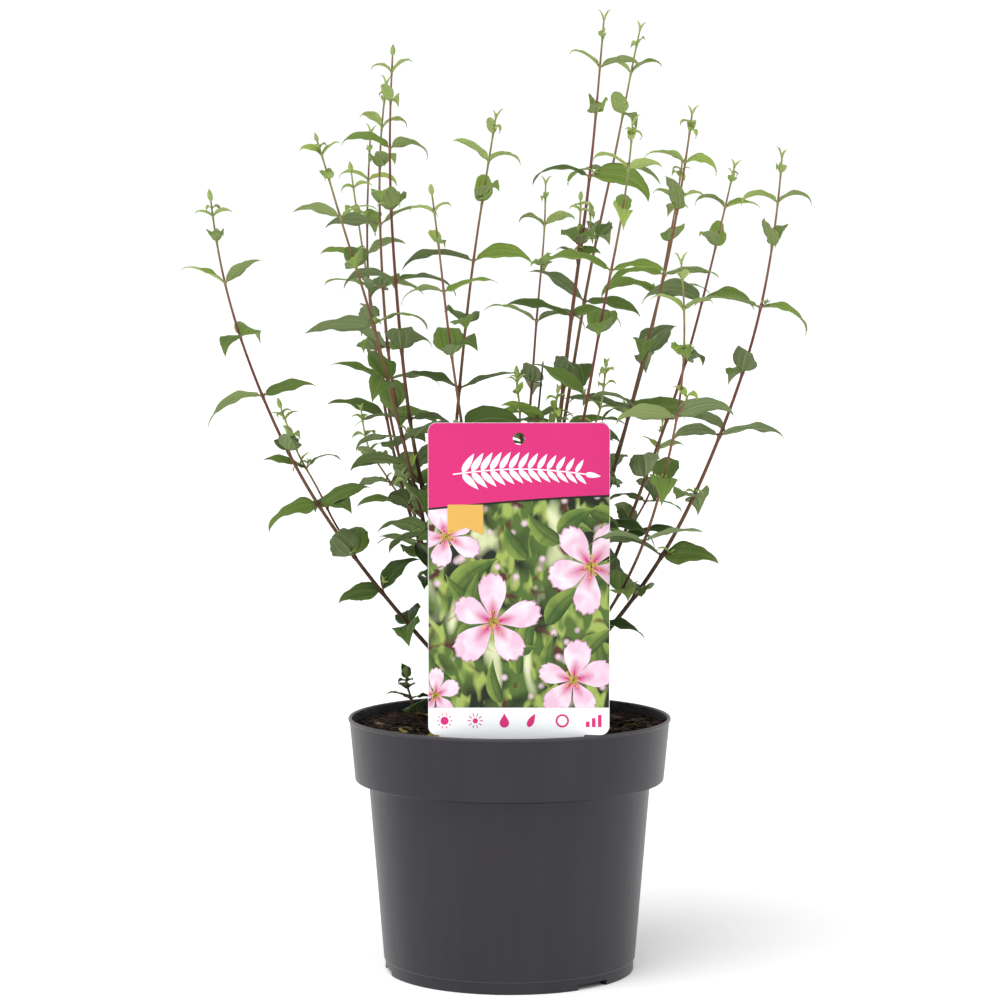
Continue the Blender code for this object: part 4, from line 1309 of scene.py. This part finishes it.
def plate(name, loops, front, thickness, materials, stands_for=()):
    """A flat sheet from closed outlines in XZ; its front lies at front and faces -Y."""
    curve = bpy.data.curves.new(name, "CURVE")
    curve.dimensions = "2D"
    curve.fill_mode = "BOTH"
    curve.extrude = thickness / 2
    for loop in loops:
        spline = curve.splines.new("POLY")
        spline.points.add(len(loop) - 1)
        for point, (x, z) in zip(spline.points, loop):
            point.co = (x, z, 0, 1)
        spline.use_cyclic_u = True
    thing = linked(name, curve)
    mesh = outcome(thing)
    bpy.data.objects.remove(thing)
    mesh.transform(Matrix.Translation((0, front + thickness / 2, 0))
                   @ Matrix.Rotation(pi / 2, 4, "X"))
    mesh.materials.clear()
    welded(mesh, radians(20))
    put(name, mesh, materials, stands_for)


def turned(x, z, along, across, turn):
    """Where a place along and across a direction lies, from a point on the card."""
    return (x + along * np.cos(turn) - across * np.sin(turn),
            z + along * np.sin(turn) + across * np.cos(turn))


def arc(x, z, radius, first, last, steps=10):
    """Points of an arc from first to last, in degrees."""
    return [turned(x, z, radius, 0, radians(first + (last - first) * step / steps))
            for step in range(steps + 1)]


def disc(x, z, radius, sides=24):
    """Points round a circle."""
    return arc(x, z, radius, 0, 360 - 360 / sides, sides - 1)


def rectangle(x, z, width, height):
    """The corners of a rectangle, from its lower left."""
    return [(x, z), (x + width, z), (x + width, z + height), (x, z + height)]


def sprig_leaf(x, z, length, broad, turn):
    """The outline of a plain pointed leaf."""
    far = [(t, broad * 1.5 * t ** 0.6 * (1 - t) ** 1.05) for t in np.linspace(0, 1, 10)]
    return [turned(x, z, length * t, length * half, turn)
            for t, half in far + [(t, -half) for t, half in far[-2:0:-1]]]


def stamen(x, z, depth, length, heading, draw):
    """A stamen as a thin flat stripe that ends in a small round head."""
    halves = np.array([0.10, 0.10, 0.34, 0.42, 0.05]) * draw.uniform(0.8, 1.2) * MM
    corners = []
    for part, half in zip((0, 0.75, 0.78, 0.88, 1.0), halves):
        for side in (-half, half):
            flat_x, flat_z = turned(x, z, length * part, side, heading)
            corners.append((flat_x, depth, flat_z))
    return np.array(corners), grid_quads(5, 2)[:, ::-1]


class Print:
    """Flat shapes printed on the card, cropped at its picture's edges, each with its tones."""

    def __init__(self, window):
        self.window = window
        self.heap = Heap()
        self.tones = []

    def lay(self, x, z, depth, along, across, turn, tone, slot):
        """Print a grid of points given along and across a direction, one tone for each."""
        left, right, low, high = self.window
        flat_x, flat_z = turned(x, z, along, across, turn)
        corners = np.stack([np.clip(flat_x, left, right), np.full(along.shape, depth),
                            np.clip(flat_z, low, high)], axis=-1)
        rows, columns = along.shape
        self.heap.add(corners.reshape(-1, 3), grid_quads(rows, columns)[:, ::-1], slot)
        self.tones.append(np.broadcast_to(tone, along.shape).ravel())

    def leaf(self, x, z, depth, length, broad, turn):
        """A leaf, dark along one margin and light along the other."""
        t, u = np.meshgrid(np.linspace(0, 1, 15), np.linspace(-1, 1, 9), indexing="ij")
        bow = 0.10 * length * np.sin(pi * t)
        across = u * broad / 2 * length * leaf_outline(t) + bow
        tone = 0.5 + 0.36 * u - 0.22 * np.exp(-(u / 0.12) ** 2) + 0.1 * t
        self.lay(x, z, depth, t * length, across, turn, tone, 1)

    def bloom(self, x, z, depth, radius, turn, draw):
        """A five-petalled blossom of no one kind: round petals that flush towards the middle."""
        for petal in range(5):
            heading = turn + petal * 2 * pi / 5 + sway(draw, 0.12)
            size = radius * draw.uniform(0.86, 1.08)
            wide = draw.uniform(0.50, 0.66)
            t, u = np.meshgrid(np.linspace(0.04, 1, 14), np.linspace(-1, 1, 25), indexing="ij")
            far = size * np.maximum(np.cos(u * pi / 2), 0.001) ** 0.30
            far *= 1 + 0.025 * np.sin(19 * u + petal) + 0.02 * np.sin(41 * u)
            along, across = t * far * np.cos(u * wide), t * far * np.sin(u * wide)
            tone = t * far / size + 0.30 * np.abs(u) + 0.05 * np.sin(26 * u) * t
            level = depth - 0.02 * MM * petal
            rim = 1.035
            self.lay(x, z, level, along * rim, across * rim, heading, 0.0, 2)
            self.lay(x, z, level - 0.012 * MM, along, across, heading, tone, 0)

    def put(self, name, materials):
        """Place all the shapes as one piece, with their tones."""
        mesh = self.heap.mesh(name)
        tones = mesh.attributes.new("tone", "FLOAT", "POINT")
        tones.data.foreach_set("value", np.concatenate(self.tones).astype(np.float32))
        put(name, mesh, materials)


class SHRUB_OT_card(bpy.types.Operator):
    """Cut the picture card and print it with blossoms, leaves and small plain signs"""
    bl_idname = "shrub.card"
    bl_label = "Picture card"

    def execute(self, context):
        card = context.scene.shrub_card
        (left, front, _), (right, back, top) = CARD_BOX
        low = context.scene.shrub_pot.height + 0.3 * MM
        middle, corner = (left + right) / 2, card.corner
        tongue = middle + 10 * MM
        outline = [*beside(left, low, ((6, 0), (7, -2.4))), *beside(tongue, low, [(-20, -2.4)]),
                   *beside(tongue, low - card.tongue, ((-10, 0), (10, 0))),
                   *beside(tongue, low, [(20, -2.4)]),
                   *beside(right, low, ((-15, -2.4), (-14, 0)))]
        for x, z, first in ((right - corner, low + corner, -90), (right - corner, top - corner, 0),
                            (left + corner, top - corner, 90), (left + corner, low + corner, 180)):
            outline += arc(x, z, corner, first, first + 90)
        hole = disc(middle, top - 9 * MM, card.hole, 36)[::-1]
        plate("card_sheet", [outline, hole], front, back - front,
              [printed("Card sheet", card.paper)], ["card"])
        window = (left + EDGE, right - EDGE, low + card.footer, top - card.header + 3 * MM)
        x0, x1, z0, z1 = window
        plate("card_picture", [rectangle(x0, z0, x1 - x0, z1 - z0)], front - LAYER, LAYER,
              [soft_picture()])
        self.picture(card, front - 2 * LAYER, window)
        head = front - 9 * LAYER
        header = arc(right - corner, top - corner, corner - EDGE, 0, 90)
        header += arc(left + corner, top - corner, corner - EDGE, 90, 180)
        sweep = [(left + EDGE + u * (right - left - 2 * EDGE),
                  top - card.header - 5 * MM * (1 - u) ** 1.6 + 2.5 * MM * u)
                 for u in np.linspace(0, 1, 13)]
        plate("card_header_shade", [sweep + [(x, z - 1.1 * MM) for x, z in sweep[::-1]]], head,
              LAYER, [printed("Header shade", (0.012, 0.014, 0.010))])
        plate("card_header", [header + sweep, hole], head - LAYER, LAYER,
              [printed("Header print", card.band)])
        self.sprig(card, head - 2 * LAYER, left, right, top)
        ribbon = beside(left + 11 * MM, top - card.header - 3 * MM,
                        ((0, 0), (20, 0), (20, -17), (10, -13), (0, -17)))
        plate("card_ribbon", [ribbon], head - 2 * LAYER, LAYER, [printed("Ribbon", card.gold)])
        self.signs(card, front - LAYER, left, right, low)
        return {"FINISHED"}

    def picture(self, card, front, window):
        """Blossoms among leaves, printed over the soft greenery."""
        left, right, low, high = window
        draw = random.Random(24)
        flat = Print(window)
        wide, tall = right - left, high - low
        for number in range(PRINTED_LEAVES):
            x, z = left + wide * draw.random(), low + tall * draw.random()
            flat.leaf(x, z, front - 0.004 * MM * number, draw.uniform(17, 36) * MM,
                      draw.uniform(0.30, 0.44), draw.uniform(-0.7, 2.4))
        eyes, pollen = [], Heap()
        for number, (u, v, radius, turn) in enumerate(BLOOMS):
            x, z, radius = left + u * wide, low + v * tall, radius * MM
            depth = front - (0.11 + 0.013 * (len(BLOOMS) - number)) * MM
            flat.bloom(x, z, depth, radius, turn, draw)
            eyes.append(disc(x, z, 0.12 * radius))
            for _ in range(STAMENS):
                far, heading = radius * draw.uniform(0.06, 0.30), draw.uniform(0, 2 * pi)
                pollen.add(*stamen(x, z, front - 0.27 * MM, far, heading, draw), 0)
        flat.put("card_blossoms", [
            toned_print("Petal print", card.blush, card.petal, 0.20, 0.62,
                        blended(card.petal, card.paper, 0.6)),
            toned_print("Leaf print", (0.020, 0.055, 0.014), (0.27, 0.37, 0.075), 0.12, 0.95,
                        (0.13, 0.22, 0.045)),
            printed("Petal shade", (0.58, 0.33, 0.44))])
        plate("card_eyes", eyes, front - 0.25 * MM, LAYER / 2,
              [printed("Flower eye print", (0.30, 0.20, 0.035))])
        put("card_stamens", pollen.mesh("card_stamens"),
            [printed("Stamen print", (0.68, 0.47, 0.11))])

    def sprig(self, card, front, left, right, top):
        """A plain white sprig of paired leaves across the header."""
        x0, x1, z = left + 14 * MM, right - 14 * MM, top - 29 * MM
        line = [(x0 + u * (x1 - x0), z + 3 * MM * sin(3.1 * u)) for u in np.linspace(0, 1, 15)]
        loops = [[(x, y + 0.35 * MM) for x, y in line]
                 + [(x, y - 0.35 * MM) for x, y in line[::-1]]]
        for number, (x, y) in enumerate(line[1:-1], 1):
            length = (13 - 0.35 * number) * MM
            loops += [sprig_leaf(x, y + side * 0.4 * MM, length, 0.30, radians(turn))
                      for side, turn in ((1, 58), (-1, -44))]
        loops.append(sprig_leaf(*line[-1], 9 * MM, 0.34, radians(-8)))
        white = printed("Header white", card.paper)
        for number, loop in enumerate(loops):
            plate(f"card_sprig_{number}", [loop], front, LAYER, [white])

    def signs(self, card, front, left, right, low):
        """Small plain signs on the foot of the card: suns, a drop, a leaf, a ring and bars."""
        z = low + 0.52 * card.footer
        spots = [left + part * (right - left) for part in (0.09, 0.26, 0.42, 0.55, 0.74, 0.87)]
        loops = []
        for x, radius in zip(spots, (2.3, 1.5)):
            loops.append(disc(x, z, radius * MM))
            ray = rectangle((radius + 0.9) * MM, -0.26 * MM, (3.5 - radius) * MM, 0.52 * MM)
            loops += [[turned(x, z, *corner, number * pi / 5) for corner in ray]
                      for number in range(10)]
        loops.append([(spots[2], z + 4.2 * MM)]
                     + arc(spots[2], z - 1.2 * MM, 2.7 * MM, 155, 385, 16))
        loops.append(sprig_leaf(spots[3], z - 3.6 * MM, 8.6 * MM, 0.42, radians(62)))
        loops += [disc(spots[4], z, 3.8 * MM), disc(spots[4], z, 2.7 * MM)[::-1]]
        loops += [rectangle(spots[5] + 0.033 * (right - left) * bar, z - 3.6 * MM, 2.1 * MM,
                            (3.2 + 1.9 * bar) * MM) for bar in range(3)]
        plate("card_signs", loops, front, LAYER, [printed("Sign print", card.band)])


# The woody foot and the bare stems

class SHRUB_OT_stool(bpy.types.Operator):
    """Shape the woody stool, with the stubs of stems that were cut back"""
    bl_idname = "shrub.stool"
    bl_label = "Woody stool"

    def execute(self, context):
        stems = context.scene.shrub_stems
        low, high = STOOL_BOX[0][2], STOOL_BOX[1][2]
        wide, deep = STOOL_RADII
        sides, levels = STOOL_SIDES, STOOL_LEVELS
        corners = []
        for level in range(levels):
            part = level / (levels - 1)
            flare = STOOL_FLARE * (1 - part) ** 2
            rounding = 1 - 0.05 * part ** 4
            for side in range(sides):
                turn = 2 * pi * side / sides
                lobes = 1 + (0.02 + 0.10 * (1 - part)) * cos(STOOL_LOBES * turn + 0.7 * sin(turn))
                x = (wide + flare) * lobes * rounding * cos(turn)
                y = (deep + flare) * lobes * rounding * sin(turn)
                rough = noise.fractal(Vector((x * 260, y * 260, part * 2.2)), 0.7, 2.0, 4)
                ridge = noise.noise(Vector((turn * 6, part * 1.4, 3)))
                pull = 1 + (0.035 * rough + 0.03 * ridge - 0.02)
                corners.append((STOOL_MIDDLE + x * pull, y * pull, low + part * (high - low)))
        for ring in range(1, 15):
            part = 1 - ring / 14.5
            for side in range(sides):
                x, y, _ = corners[(levels - 1) * sides + side]
                x, y = STOOL_MIDDLE + (x - STOOL_MIDDLE) * part, y * part
                bumps = noise.fractal(Vector((x * 230, y * 230, 9)), 0.7, 2.0, 4)
                corners.append((x, y, high - 0.8 * MM + 0.9 * MM * min(0.6, bumps)))
        heap = Heap()
        heap.add(np.array(corners), grid_quads(levels + 14, sides, closed=True), 0)
        draw = random.Random(3)
        for x, y, girth, tall in STUBS:
            lean = Vector((sway(draw, 0.3), sway(draw, 0.3), 1)).normalized()
            base = Vector((x * MM, y * MM, high - 2 * MM))
            parts = (0, 0.3, 0.6, 0.96, 1.0, 1.0, 1.0)
            widths = (1.25, 1.05, 1.0, 0.98, 0.9, 0.45, 0.02)
            points = as_rows(base + lean * (tall + 2) * MM * part + UP * 0.01 * MM * n
                             for n, part in enumerate(parts))
            radii = np.array([[girth / 2 * MM * w * draw.uniform(0.93, 1.07)
                               for _ in range(STUB_SIDES)] for w in widths])
            heap.add(*tube_surface(points, radii, STUB_SIDES),
                     np.repeat([0, 0, 0, 1, 1, 1], STUB_SIDES))
        cut_wood = litter_finish("Cut wood", (0.36, 0.26, 0.15), 0.6, 1800)
        put("woody_stool", heap.mesh("woody_stool"), [bark_finish(stems), cut_wood],
            ["stool"])
        return {"FINISHED"}


class SHRUB_OT_stems(bpy.types.Operator):
    """Give the bare lower stems their bark"""
    bl_idname = "shrub.stems"
    bl_label = "Bare stems"

    def execute(self, context):
        stems = context.scene.shrub_stems
        heap = Heap()
        turns = [2 * pi * side / STEM_SIDES for side in range(STEM_SIDES)]
        for number, growth in enumerate(growths(), 1):
            distances = np.arange(0, growth.bare + LIMB_OVER, 1 * MM)
            points = as_rows(growth.path.at(d)[0] for d in distances)
            points[0, 2] -= 0.3 * MM
            main = growth.twigs[0]
            radii = np.array([main.radius(d) for d in distances])
            radii *= 1 + STEM_FLARE * np.exp(-distances / FLARE_FADE)
            rough = np.array([[noise.fractal(Vector((3 * cos(turn), 3 * sin(turn),
                                                     d * 160 + number)), 0.8, 2.0, 4)
                               for turn in turns] for d in distances])
            heap.add(*tube_surface(points, radii[:, None] + stems.relief * rough, STEM_SIDES), 0)
        put("stem_bark", heap.mesh("stem_bark"), [bark_finish(stems)],
            numbered("stem"))
        return {"FINISHED"}


# Twigs and leaves

# Across a leaf: the places of its columns, the relief of its nerves, and its ribs underneath
LEAF_COLUMNS = np.array([-1, -0.72, -0.47, -0.42, -0.2, -0.05, 0.05, 0.2, 0.42, 0.47, 0.72, 1])
LEAF_RELIEF = np.array([0, 0.6, -0.5, -0.5, 0.6, -0.9, -0.9, 0.6, -0.5, -0.5, 0.6, 0])
LEAF_RIBS = np.array([0, 0, 0.5, 0.5, 0, 1.2, 1.2, 0, 0.5, 0.5, 0, 0])
LINE_STEPS = 60

# How a blade hooks and twists, in radians, how many teeth it has, and how it folds
LEAF_HOOK = (0.1, 0.9)
YOUNG_HOOK = (0.2, 1.1)
LEAF_TWIST = 0.45
LEAF_TEETH = (3, 4, 5)
LEAF_FOLD = (0.06, 0.34)
YOUNG_FOLD = 0.45
# Waves of a margin: their heights, and how many go to a leaf
LEAF_WAVES = ((1.0, 1.3), (0.5, 2.9))
STALK = 0.05
FULL_RELIEF = 42 * MM
AGED_BROAD = 0.22
LEAVES_A_PIECE = 260

# Twigs: how they swell at a leaf pair, and how their tone shifts there high up and low down
TWIG_SIDES = 9
SKINS = 14
NODE_SWELL = 0.38
NODE_PALE = 0.16
NODE_DARK = -0.13

# The strips of a blade, which are also its materials in the order that they are given
TOP, MIDRIB, NERVE, UNDER, UNDER_RIB = range(5)
UPPER_STRIPS = np.array([TOP, TOP, NERVE, TOP, TOP, MIDRIB, TOP, TOP, NERVE, TOP, TOP])
LOWER_STRIPS = np.where(UPPER_STRIPS == TOP, UNDER, UNDER_RIB)


def leaf_outline(t):
    """Half-width along a leaf, as a share of its widest: ovate, with a drawn-out tip."""
    return 3.21 * np.maximum(t, 0) ** 0.6 * np.maximum(1 - t, 0) ** 1.25


def blade_surface(leaf, leaves, draw):
    """Both faces and the rim of one leaf, folded, waved and toothed, with its nerves."""
    rows = 18 if leaf.length > 20 * MM else 12 if leaf.length > 10 * MM else 8
    t = np.linspace(STALK, 1, rows + 1)
    young = max(0.0, 1 - 4 * max(leaf.age, 0))
    hook = draw.uniform(*LEAF_HOOK) + draw.uniform(*YOUNG_HOOK) * young
    spots = leaf.line(LINE_STEPS, hook)
    picks = [spots[round(LINE_STEPS * part)] for part in t]
    middle, way = as_rows(point for point, _ in picks), as_rows(way for _, way in picks)
    across = np.cross(way, np.array(leaf.up))
    across /= np.maximum(np.linalg.norm(across, axis=1, keepdims=True), 1e-6)
    twist = leaf.roll + sway(draw, LEAF_TWIST) * t
    across = across * np.cos(twist)[:, None] + np.cross(way, across) * np.sin(twist)[:, None]
    normal = np.cross(across, way)
    inner = (t - STALK) / (1 - STALK)
    u = LEAF_COLUMNS
    teeth = leaves.tooth * ((draw.choice(LEAF_TEETH) * inner + draw.random()) % 1 - 0.5)
    teeth *= np.clip(6 * (inner - 0.18), 0, 1) * np.clip(5 * (0.92 - inner), 0, 1)
    half = leaf.length * leaf.broad * (1 + AGED_BROAD * max(leaf.age, 0)) / 2 * leaf_outline(inner)
    half = np.maximum(half, np.where(inner < 0.5, 0.4, 0.08) * MM)[:, None]
    edge = 1 + teeth[:, None] * np.abs(u) ** 3
    fold = draw.uniform(*LEAF_FOLD) + YOUNG_FOLD * young
    nerve = leaves.nerve * min(1.0, leaf.length / FULL_RELIEF) ** 1.5
    waves = sum(depth * np.sin(2 * pi * count * inner + draw.uniform(0, 2 * pi))
                for depth, count in LEAF_WAVES)
    lift = half * (fold * np.abs(u) - 0.12 * u ** 2 + leaves.wave * waves[:, None] * u * np.abs(u)
                   + nerve * LEAF_RELIEF * (1 - inner[:, None] ** 3))
    upper = middle[:, None] + across[:, None] * (half * edge * u)[..., None] \
        + normal[:, None] * lift[..., None]
    thick = leaves.thickness * (1 + LEAF_RIBS * (1 - inner[:, None]))
    lower = upper - normal[:, None] * thick[..., None]
    count = len(u)
    below = (rows + 1) * count
    face = grid_quads(rows + 1, count)
    edges = [np.arange(rows + 1) * count, np.arange(rows, -1, -1) * count + count - 1,
             np.arange(count - 1, -1, -1), rows * count + np.arange(count)]
    rim = [np.stack([line[:-1], line[1:], line[1:] + below, line[:-1] + below], axis=1)
           for line in edges]
    quads = np.concatenate([face, face[:, ::-1] + below, *rim])
    slots = np.concatenate([np.tile(UPPER_STRIPS, rows), np.tile(LOWER_STRIPS, rows),
                            np.full(len(quads) - 2 * len(face), UNDER)])
    corners = np.concatenate([upper.reshape(-1, 3), lower.reshape(-1, 3)])
    return corners, quads, slots


def stalk_surface(leaf):
    """The short stalk between a stem and its leaf."""
    spots = leaf.line(LINE_STEPS)
    points = as_rows(spots[step][0] for step in (0, 1, 2, 4, 6))
    thin = min(0.55 * MM, 0.02 * leaf.length + 0.12 * MM)
    return tube_surface(points, np.array([1.5, 1.25, 1.0, 0.9, 0.45]) * thin, 6)


def bud_surface(point, way, out, radius, length):
    """A small pointed bud in the corner between a stem and a leaf stalk."""
    base = np.array(tuple(point + out * radius * 0.8))
    lead = np.array(tuple((way * 1.0 + out * 0.55).normalized()))
    parts = np.array([0, 0.25, 0.5, 0.75, 1.0])
    widths = np.array([0.7, 1.0, 0.9, 0.5, 0.04]) * length * 0.30
    return tube_surface(base + parts[:, None] * lead * length, widths, 6)


def swollen(twig, distances):
    """The twig's radius at each distance, thicker where a leaf pair sits."""
    radii = np.array([twig.radius(distance) for distance in distances])
    for node in twig.nodes:
        radii *= 1 + NODE_SWELL * np.exp(-((distances - node) / (1.7 * MM)) ** 2)
    return radii


def ramp(colours, count):
    """Evenly spaced steps through a row of colours."""
    steps = []
    for number in range(count):
        place = number / (count - 1) * (len(colours) - 1)
        index = min(int(place), len(colours) - 2)
        steps.append(blended(colours[index], colours[index + 1], place - index))
    return steps


class SHRUB_OT_twigs(bpy.types.Operator):
    """Grow the leafy twigs, their leaf stalks and their buds"""
    bl_idname = "shrub.twigs"
    bl_label = "Twigs and buds"

    def execute(self, context):
        stems = context.scene.shrub_stems
        skins = []
        for name, low, middle in (("Brown", stems.bark, stems.red),
                                  ("Wine", stems.red, stems.wine)):
            row = (blended(stems.furrow, stems.bark, 0.4), blended(stems.bark, low, 0.5),
                   blended(low, middle, 0.6), middle, blended(middle, stems.rose, 0.6),
                   blended(stems.rose, stems.green, 0.45), stems.green)
            skins += [skin_finish(f"{name} stem skin {number + 1}", base)
                      for number, base in enumerate(ramp(row, SKINS))]
        twigs, buds = Heap(), Heap()
        draw = random.Random(11)
        for growth in growths():
            shift = draw.uniform(-0.20, 0.02)
            first = draw.choice((0, 0, SKINS))
            for order, twig in enumerate(growth.twigs + growth.tufts):
                self.grow(twig, twigs, shift + (0.3 if order else 0), first)
                for leaf in twig.leaves:
                    twigs.add(*stalk_surface(leaf), SKINS * 3 // 5 if leaf.age > 0.45
                              else SKINS * 4 // 5)
            for twig in growth.twigs:
                for node in twig.nodes:
                    point, way = twig.spine(node)
                    size = 1 - node / twig.path.length / 2
                    for leaf in twig.leaves:
                        if (leaf.root - point).length < AT_NODE:
                            bud = bud_surface(point, way, leaf.out, twig.radius(node),
                                              draw.uniform(1.6, 2.8) * MM * size)
                            buds.add(*bud, draw.choice((0, 0, 1)))
        put("leafy_twigs", twigs.mesh("leafy_twigs"), skins, numbered("shoot"))
        put("leaf_buds", buds.mesh("leaf_buds"),
            [skin_finish("Red buds", blended(stems.furrow, stems.red, 0.8)),
             skin_finish("Green buds", blended(stems.red, stems.green, 0.7))])
        return {"FINISHED"}

    def grow(self, twig, heap, shift, first):
        """One twig as a tube that swells at its leaf pairs, coloured from wood to soft tip."""
        length = twig.path.length - twig.start
        distances = np.linspace(twig.start, twig.path.length, max(5, round(length / (1.3 * MM))))
        radii = swollen(twig, distances)
        radii[-1] *= 0.4
        points = as_rows(twig.path.at(d)[0] for d in distances)
        corners, quads = tube_surface(points, radii, TWIG_SIDES)
        tone = (distances[:-1] - twig.start) / length + shift
        for node in twig.nodes:
            shade = NODE_PALE if node - twig.start > 0.6 * length else NODE_DARK
            tone += shade * np.exp(-((distances[:-1] - node) / (1.6 * MM)) ** 2)
            above = (distances[:-1] - node) / (9 * MM)
            tone -= 0.10 * np.where(above > 0, np.exp(-above), 0)
        tone[distances[:-1] > twig.living] = 0
        slots = first + np.clip(tone * SKINS, 0, SKINS - 1).astype(int)
        heap.add(corners, quads, np.repeat(slots, TWIG_SIDES))


class SHRUB_OT_leaves(bpy.types.Operator):
    """Lay the leaves, from the folded tips down to the broad old ones"""
    bl_idname = "shrub.leaves"
    bl_label = "Leaves"

    def execute(self, context):
        leaves = context.scene.shrub_leaves
        draw = random.Random(5)
        kinds = (
            ("young", 0.14, (leaves.young, blended(leaves.young, leaves.fresh, 0.6)),
             leaves.under_young),
            ("fresh", 0.36, (leaves.fresh, blended(leaves.fresh, leaves.full, 0.5)),
             blended(leaves.under_young, leaves.under_full, 0.6)),
            ("full", 0.74, (leaves.full, blended(leaves.full, leaves.fresh, 0.3),
                            blended(leaves.full, leaves.old, 0.45)), leaves.under_full),
            ("old", 9, (leaves.old, blended(leaves.old, leaves.full, 0.5)),
             blended(leaves.under_full, leaves.full, 0.5)),
        )
        sorted_leaves = {kind[0]: [] for kind in kinds}
        for growth in growths():
            for order, twig in enumerate(growth.twigs + growth.tufts):
                for leaf in twig.leaves:
                    age = leaf.age + sway(draw, 0.1) - (0.1 if order else 0)
                    age = 1.0 if growth.aged else age
                    kind = next(name for name, oldest, _, _ in kinds if age < oldest)
                    sorted_leaves[kind].append(leaf)
        for kind, _, tops, under in kinds:
            pale = blended(tops[0], under, 0.55)
            # The nerve strips are painted darker than the blade: painted shade in their sunken
            # grooves.
            deep = dimmed(tops[0], 0.62)
            rib = blended(under, leaves.under_young, 0.45)
            finishes = [blade_finish(f"Leaf {kind} {number + 1}", top, 0.46 + 0.04 * number)
                        for number, top in enumerate(tops)]
            finishes += [blade_finish(f"Leaf {kind} midrib", pale, 0.5),
                         blade_finish(f"Leaf {kind} nerves", deep, 0.5),
                         blade_finish(f"Leaf {kind} underside", under, 0.7),
                         blade_finish(f"Leaf {kind} ribs", rib, 0.65)]
            for lot, first in enumerate(range(0, len(sorted_leaves[kind]), LEAVES_A_PIECE), 1):
                heap = Heap()
                for leaf in sorted_leaves[kind][first:first + LEAVES_A_PIECE]:
                    corners, quads, slots = blade_surface(leaf, leaves, draw)
                    top = draw.randrange(len(tops))
                    heap.add(corners, quads, np.where(slots == TOP, top, len(tops) - 1 + slots))
                name = f"leaves_{kind}_{lot}"
                put(name, heap.mesh(name), finishes)
        return {"FINISHED"}


# Floor, light and camera

AIM = Vector((0, 0, 0.25))
FLOOR_RADIUS = 40


def lamp(name, kind, place, **settings):
    """A light of a kind at a place, aimed at the middle of the plant."""
    light = bpy.data.lights.new(name, kind)
    for label, value in settings.items():
        setattr(light, label, value)
    thing = linked(name, light)
    thing.location = place
    thing.rotation_euler = (AIM - Vector(place)).to_track_quat("-Z", "Y").to_euler()


def white_surround(studio):
    """A plain surround, white round the horizon and softer overhead."""
    world = bpy.data.worlds.new("White surround")
    world.use_nodes = True
    tree = Tree(world.node_tree)
    up = tree.add("SeparateXYZ", {0: tree.add("TexCoord", {})["Generated"]})["Z"]
    fall = tree.add("MapRange", {"Value": up, "From Min": 0.1, "From Max": 0.6,
                                 "To Min": studio.horizon, "To Max": studio.zenith})
    background = tree.nodes["Background"].inputs
    tree.feed(background["Color"], (1, 1, 1))
    tree.feed(background["Strength"], fall["Result"])
    return world


class SHRUB_OT_studio(bpy.types.Operator):
    """Lay a pale floor, light it softly and set up the camera"""
    bl_idname = "shrub.studio"
    bl_label = "Studio"

    def execute(self, context):
        studio = context.scene.shrub_studio
        work = bmesh.new()
        bmesh.ops.create_circle(work, cap_ends=True, segments=96, radius=FLOOR_RADIUS)
        mesh = bpy.data.meshes.new("studio_floor")
        work.to_mesh(mesh)
        work.free()
        made = Finish("Studio floor", studio.floor, 0.9, 0.1)
        grain = made.group("Grain", Scale=60, Patch_scale=3)
        made.emboss(grain["Height"], 0.2 * MM, 0.1)
        out = made.add("VectorMath", {0: made.place()}, operation="LENGTH")["Value"]
        foot = context.scene.shrub_pot.foot_radius
        glow = made.blend(out, foot - FOOT_WIDTH, foot, (0, 0, 0), (1, 1, 1))
        made.feed(made.shader["Emission Color"], glow)
        made.feed(made.shader["Emission Strength"], studio.glow)
        mesh.materials.append(made.material)
        linked("studio_floor", mesh)
        lamp("key_light", "SUN", (-0.55, -0.75, 1.6), energy=studio.key, angle=studio.spread)
        lamp("fill_light", "AREA", (1.5, -0.9, 0.8), energy=studio.fill, shape="DISK", size=1.4)
        context.scene.world = white_surround(studio)
        context.scene.view_settings.view_transform = "Standard"
        lens = bpy.data.cameras.new("studio_camera")
        lens.lens = studio.lens
        lens.sensor_width = 36
        camera = linked("studio_camera", lens)
        camera.location = (-5.6 * MM, -studio.distance, studio.height)
        camera.rotation_euler = (pi / 2 - studio.pitch, 0, 0)
        context.scene.camera = camera
        return {"FINISHED"}


class SHRUB_PT_panel(bpy.types.Panel):
    """The steps that make the potted shrub"""
    bl_label = "Potted shrub"
    bl_idname = "SHRUB_PT_panel"
    bl_space_type = "VIEW_3D"
    bl_region_type = "UI"
    bl_category = "Shrub"

    def draw(self, context):
        for step in STEPS:
            self.layout.operator(step.bl_idname)


SETTINGS = {
    "shrub_pot": PotSettings, "shrub_soil": SoilSettings, "shrub_card": CardSettings,
    "shrub_stems": StemSettings, "shrub_leaves": LeafSettings, "shrub_studio": StudioSettings,
}
STEPS = (SHRUB_OT_pot, SHRUB_OT_soil, SHRUB_OT_litter, SHRUB_OT_card, SHRUB_OT_stool,
         SHRUB_OT_stems, SHRUB_OT_twigs, SHRUB_OT_leaves, SHRUB_OT_studio)


def register():
    for each in (*SETTINGS.values(), *STEPS, SHRUB_PT_panel):
        bpy.utils.register_class(each)
    for name, group in SETTINGS.items():
        setattr(bpy.types.Scene, name, PointerProperty(type=group))


def unregister():
    for name in SETTINGS:
        delattr(bpy.types.Scene, name)
    for each in (SHRUB_PT_panel, *STEPS, *SETTINGS.values()):
        bpy.utils.unregister_class(each)


def main():
    register()
    for step in STEPS:
        area, action = step.bl_idname.split(".")
        getattr(getattr(bpy.ops, area), action)()
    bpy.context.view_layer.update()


if __name__ == "__main__":
    main()
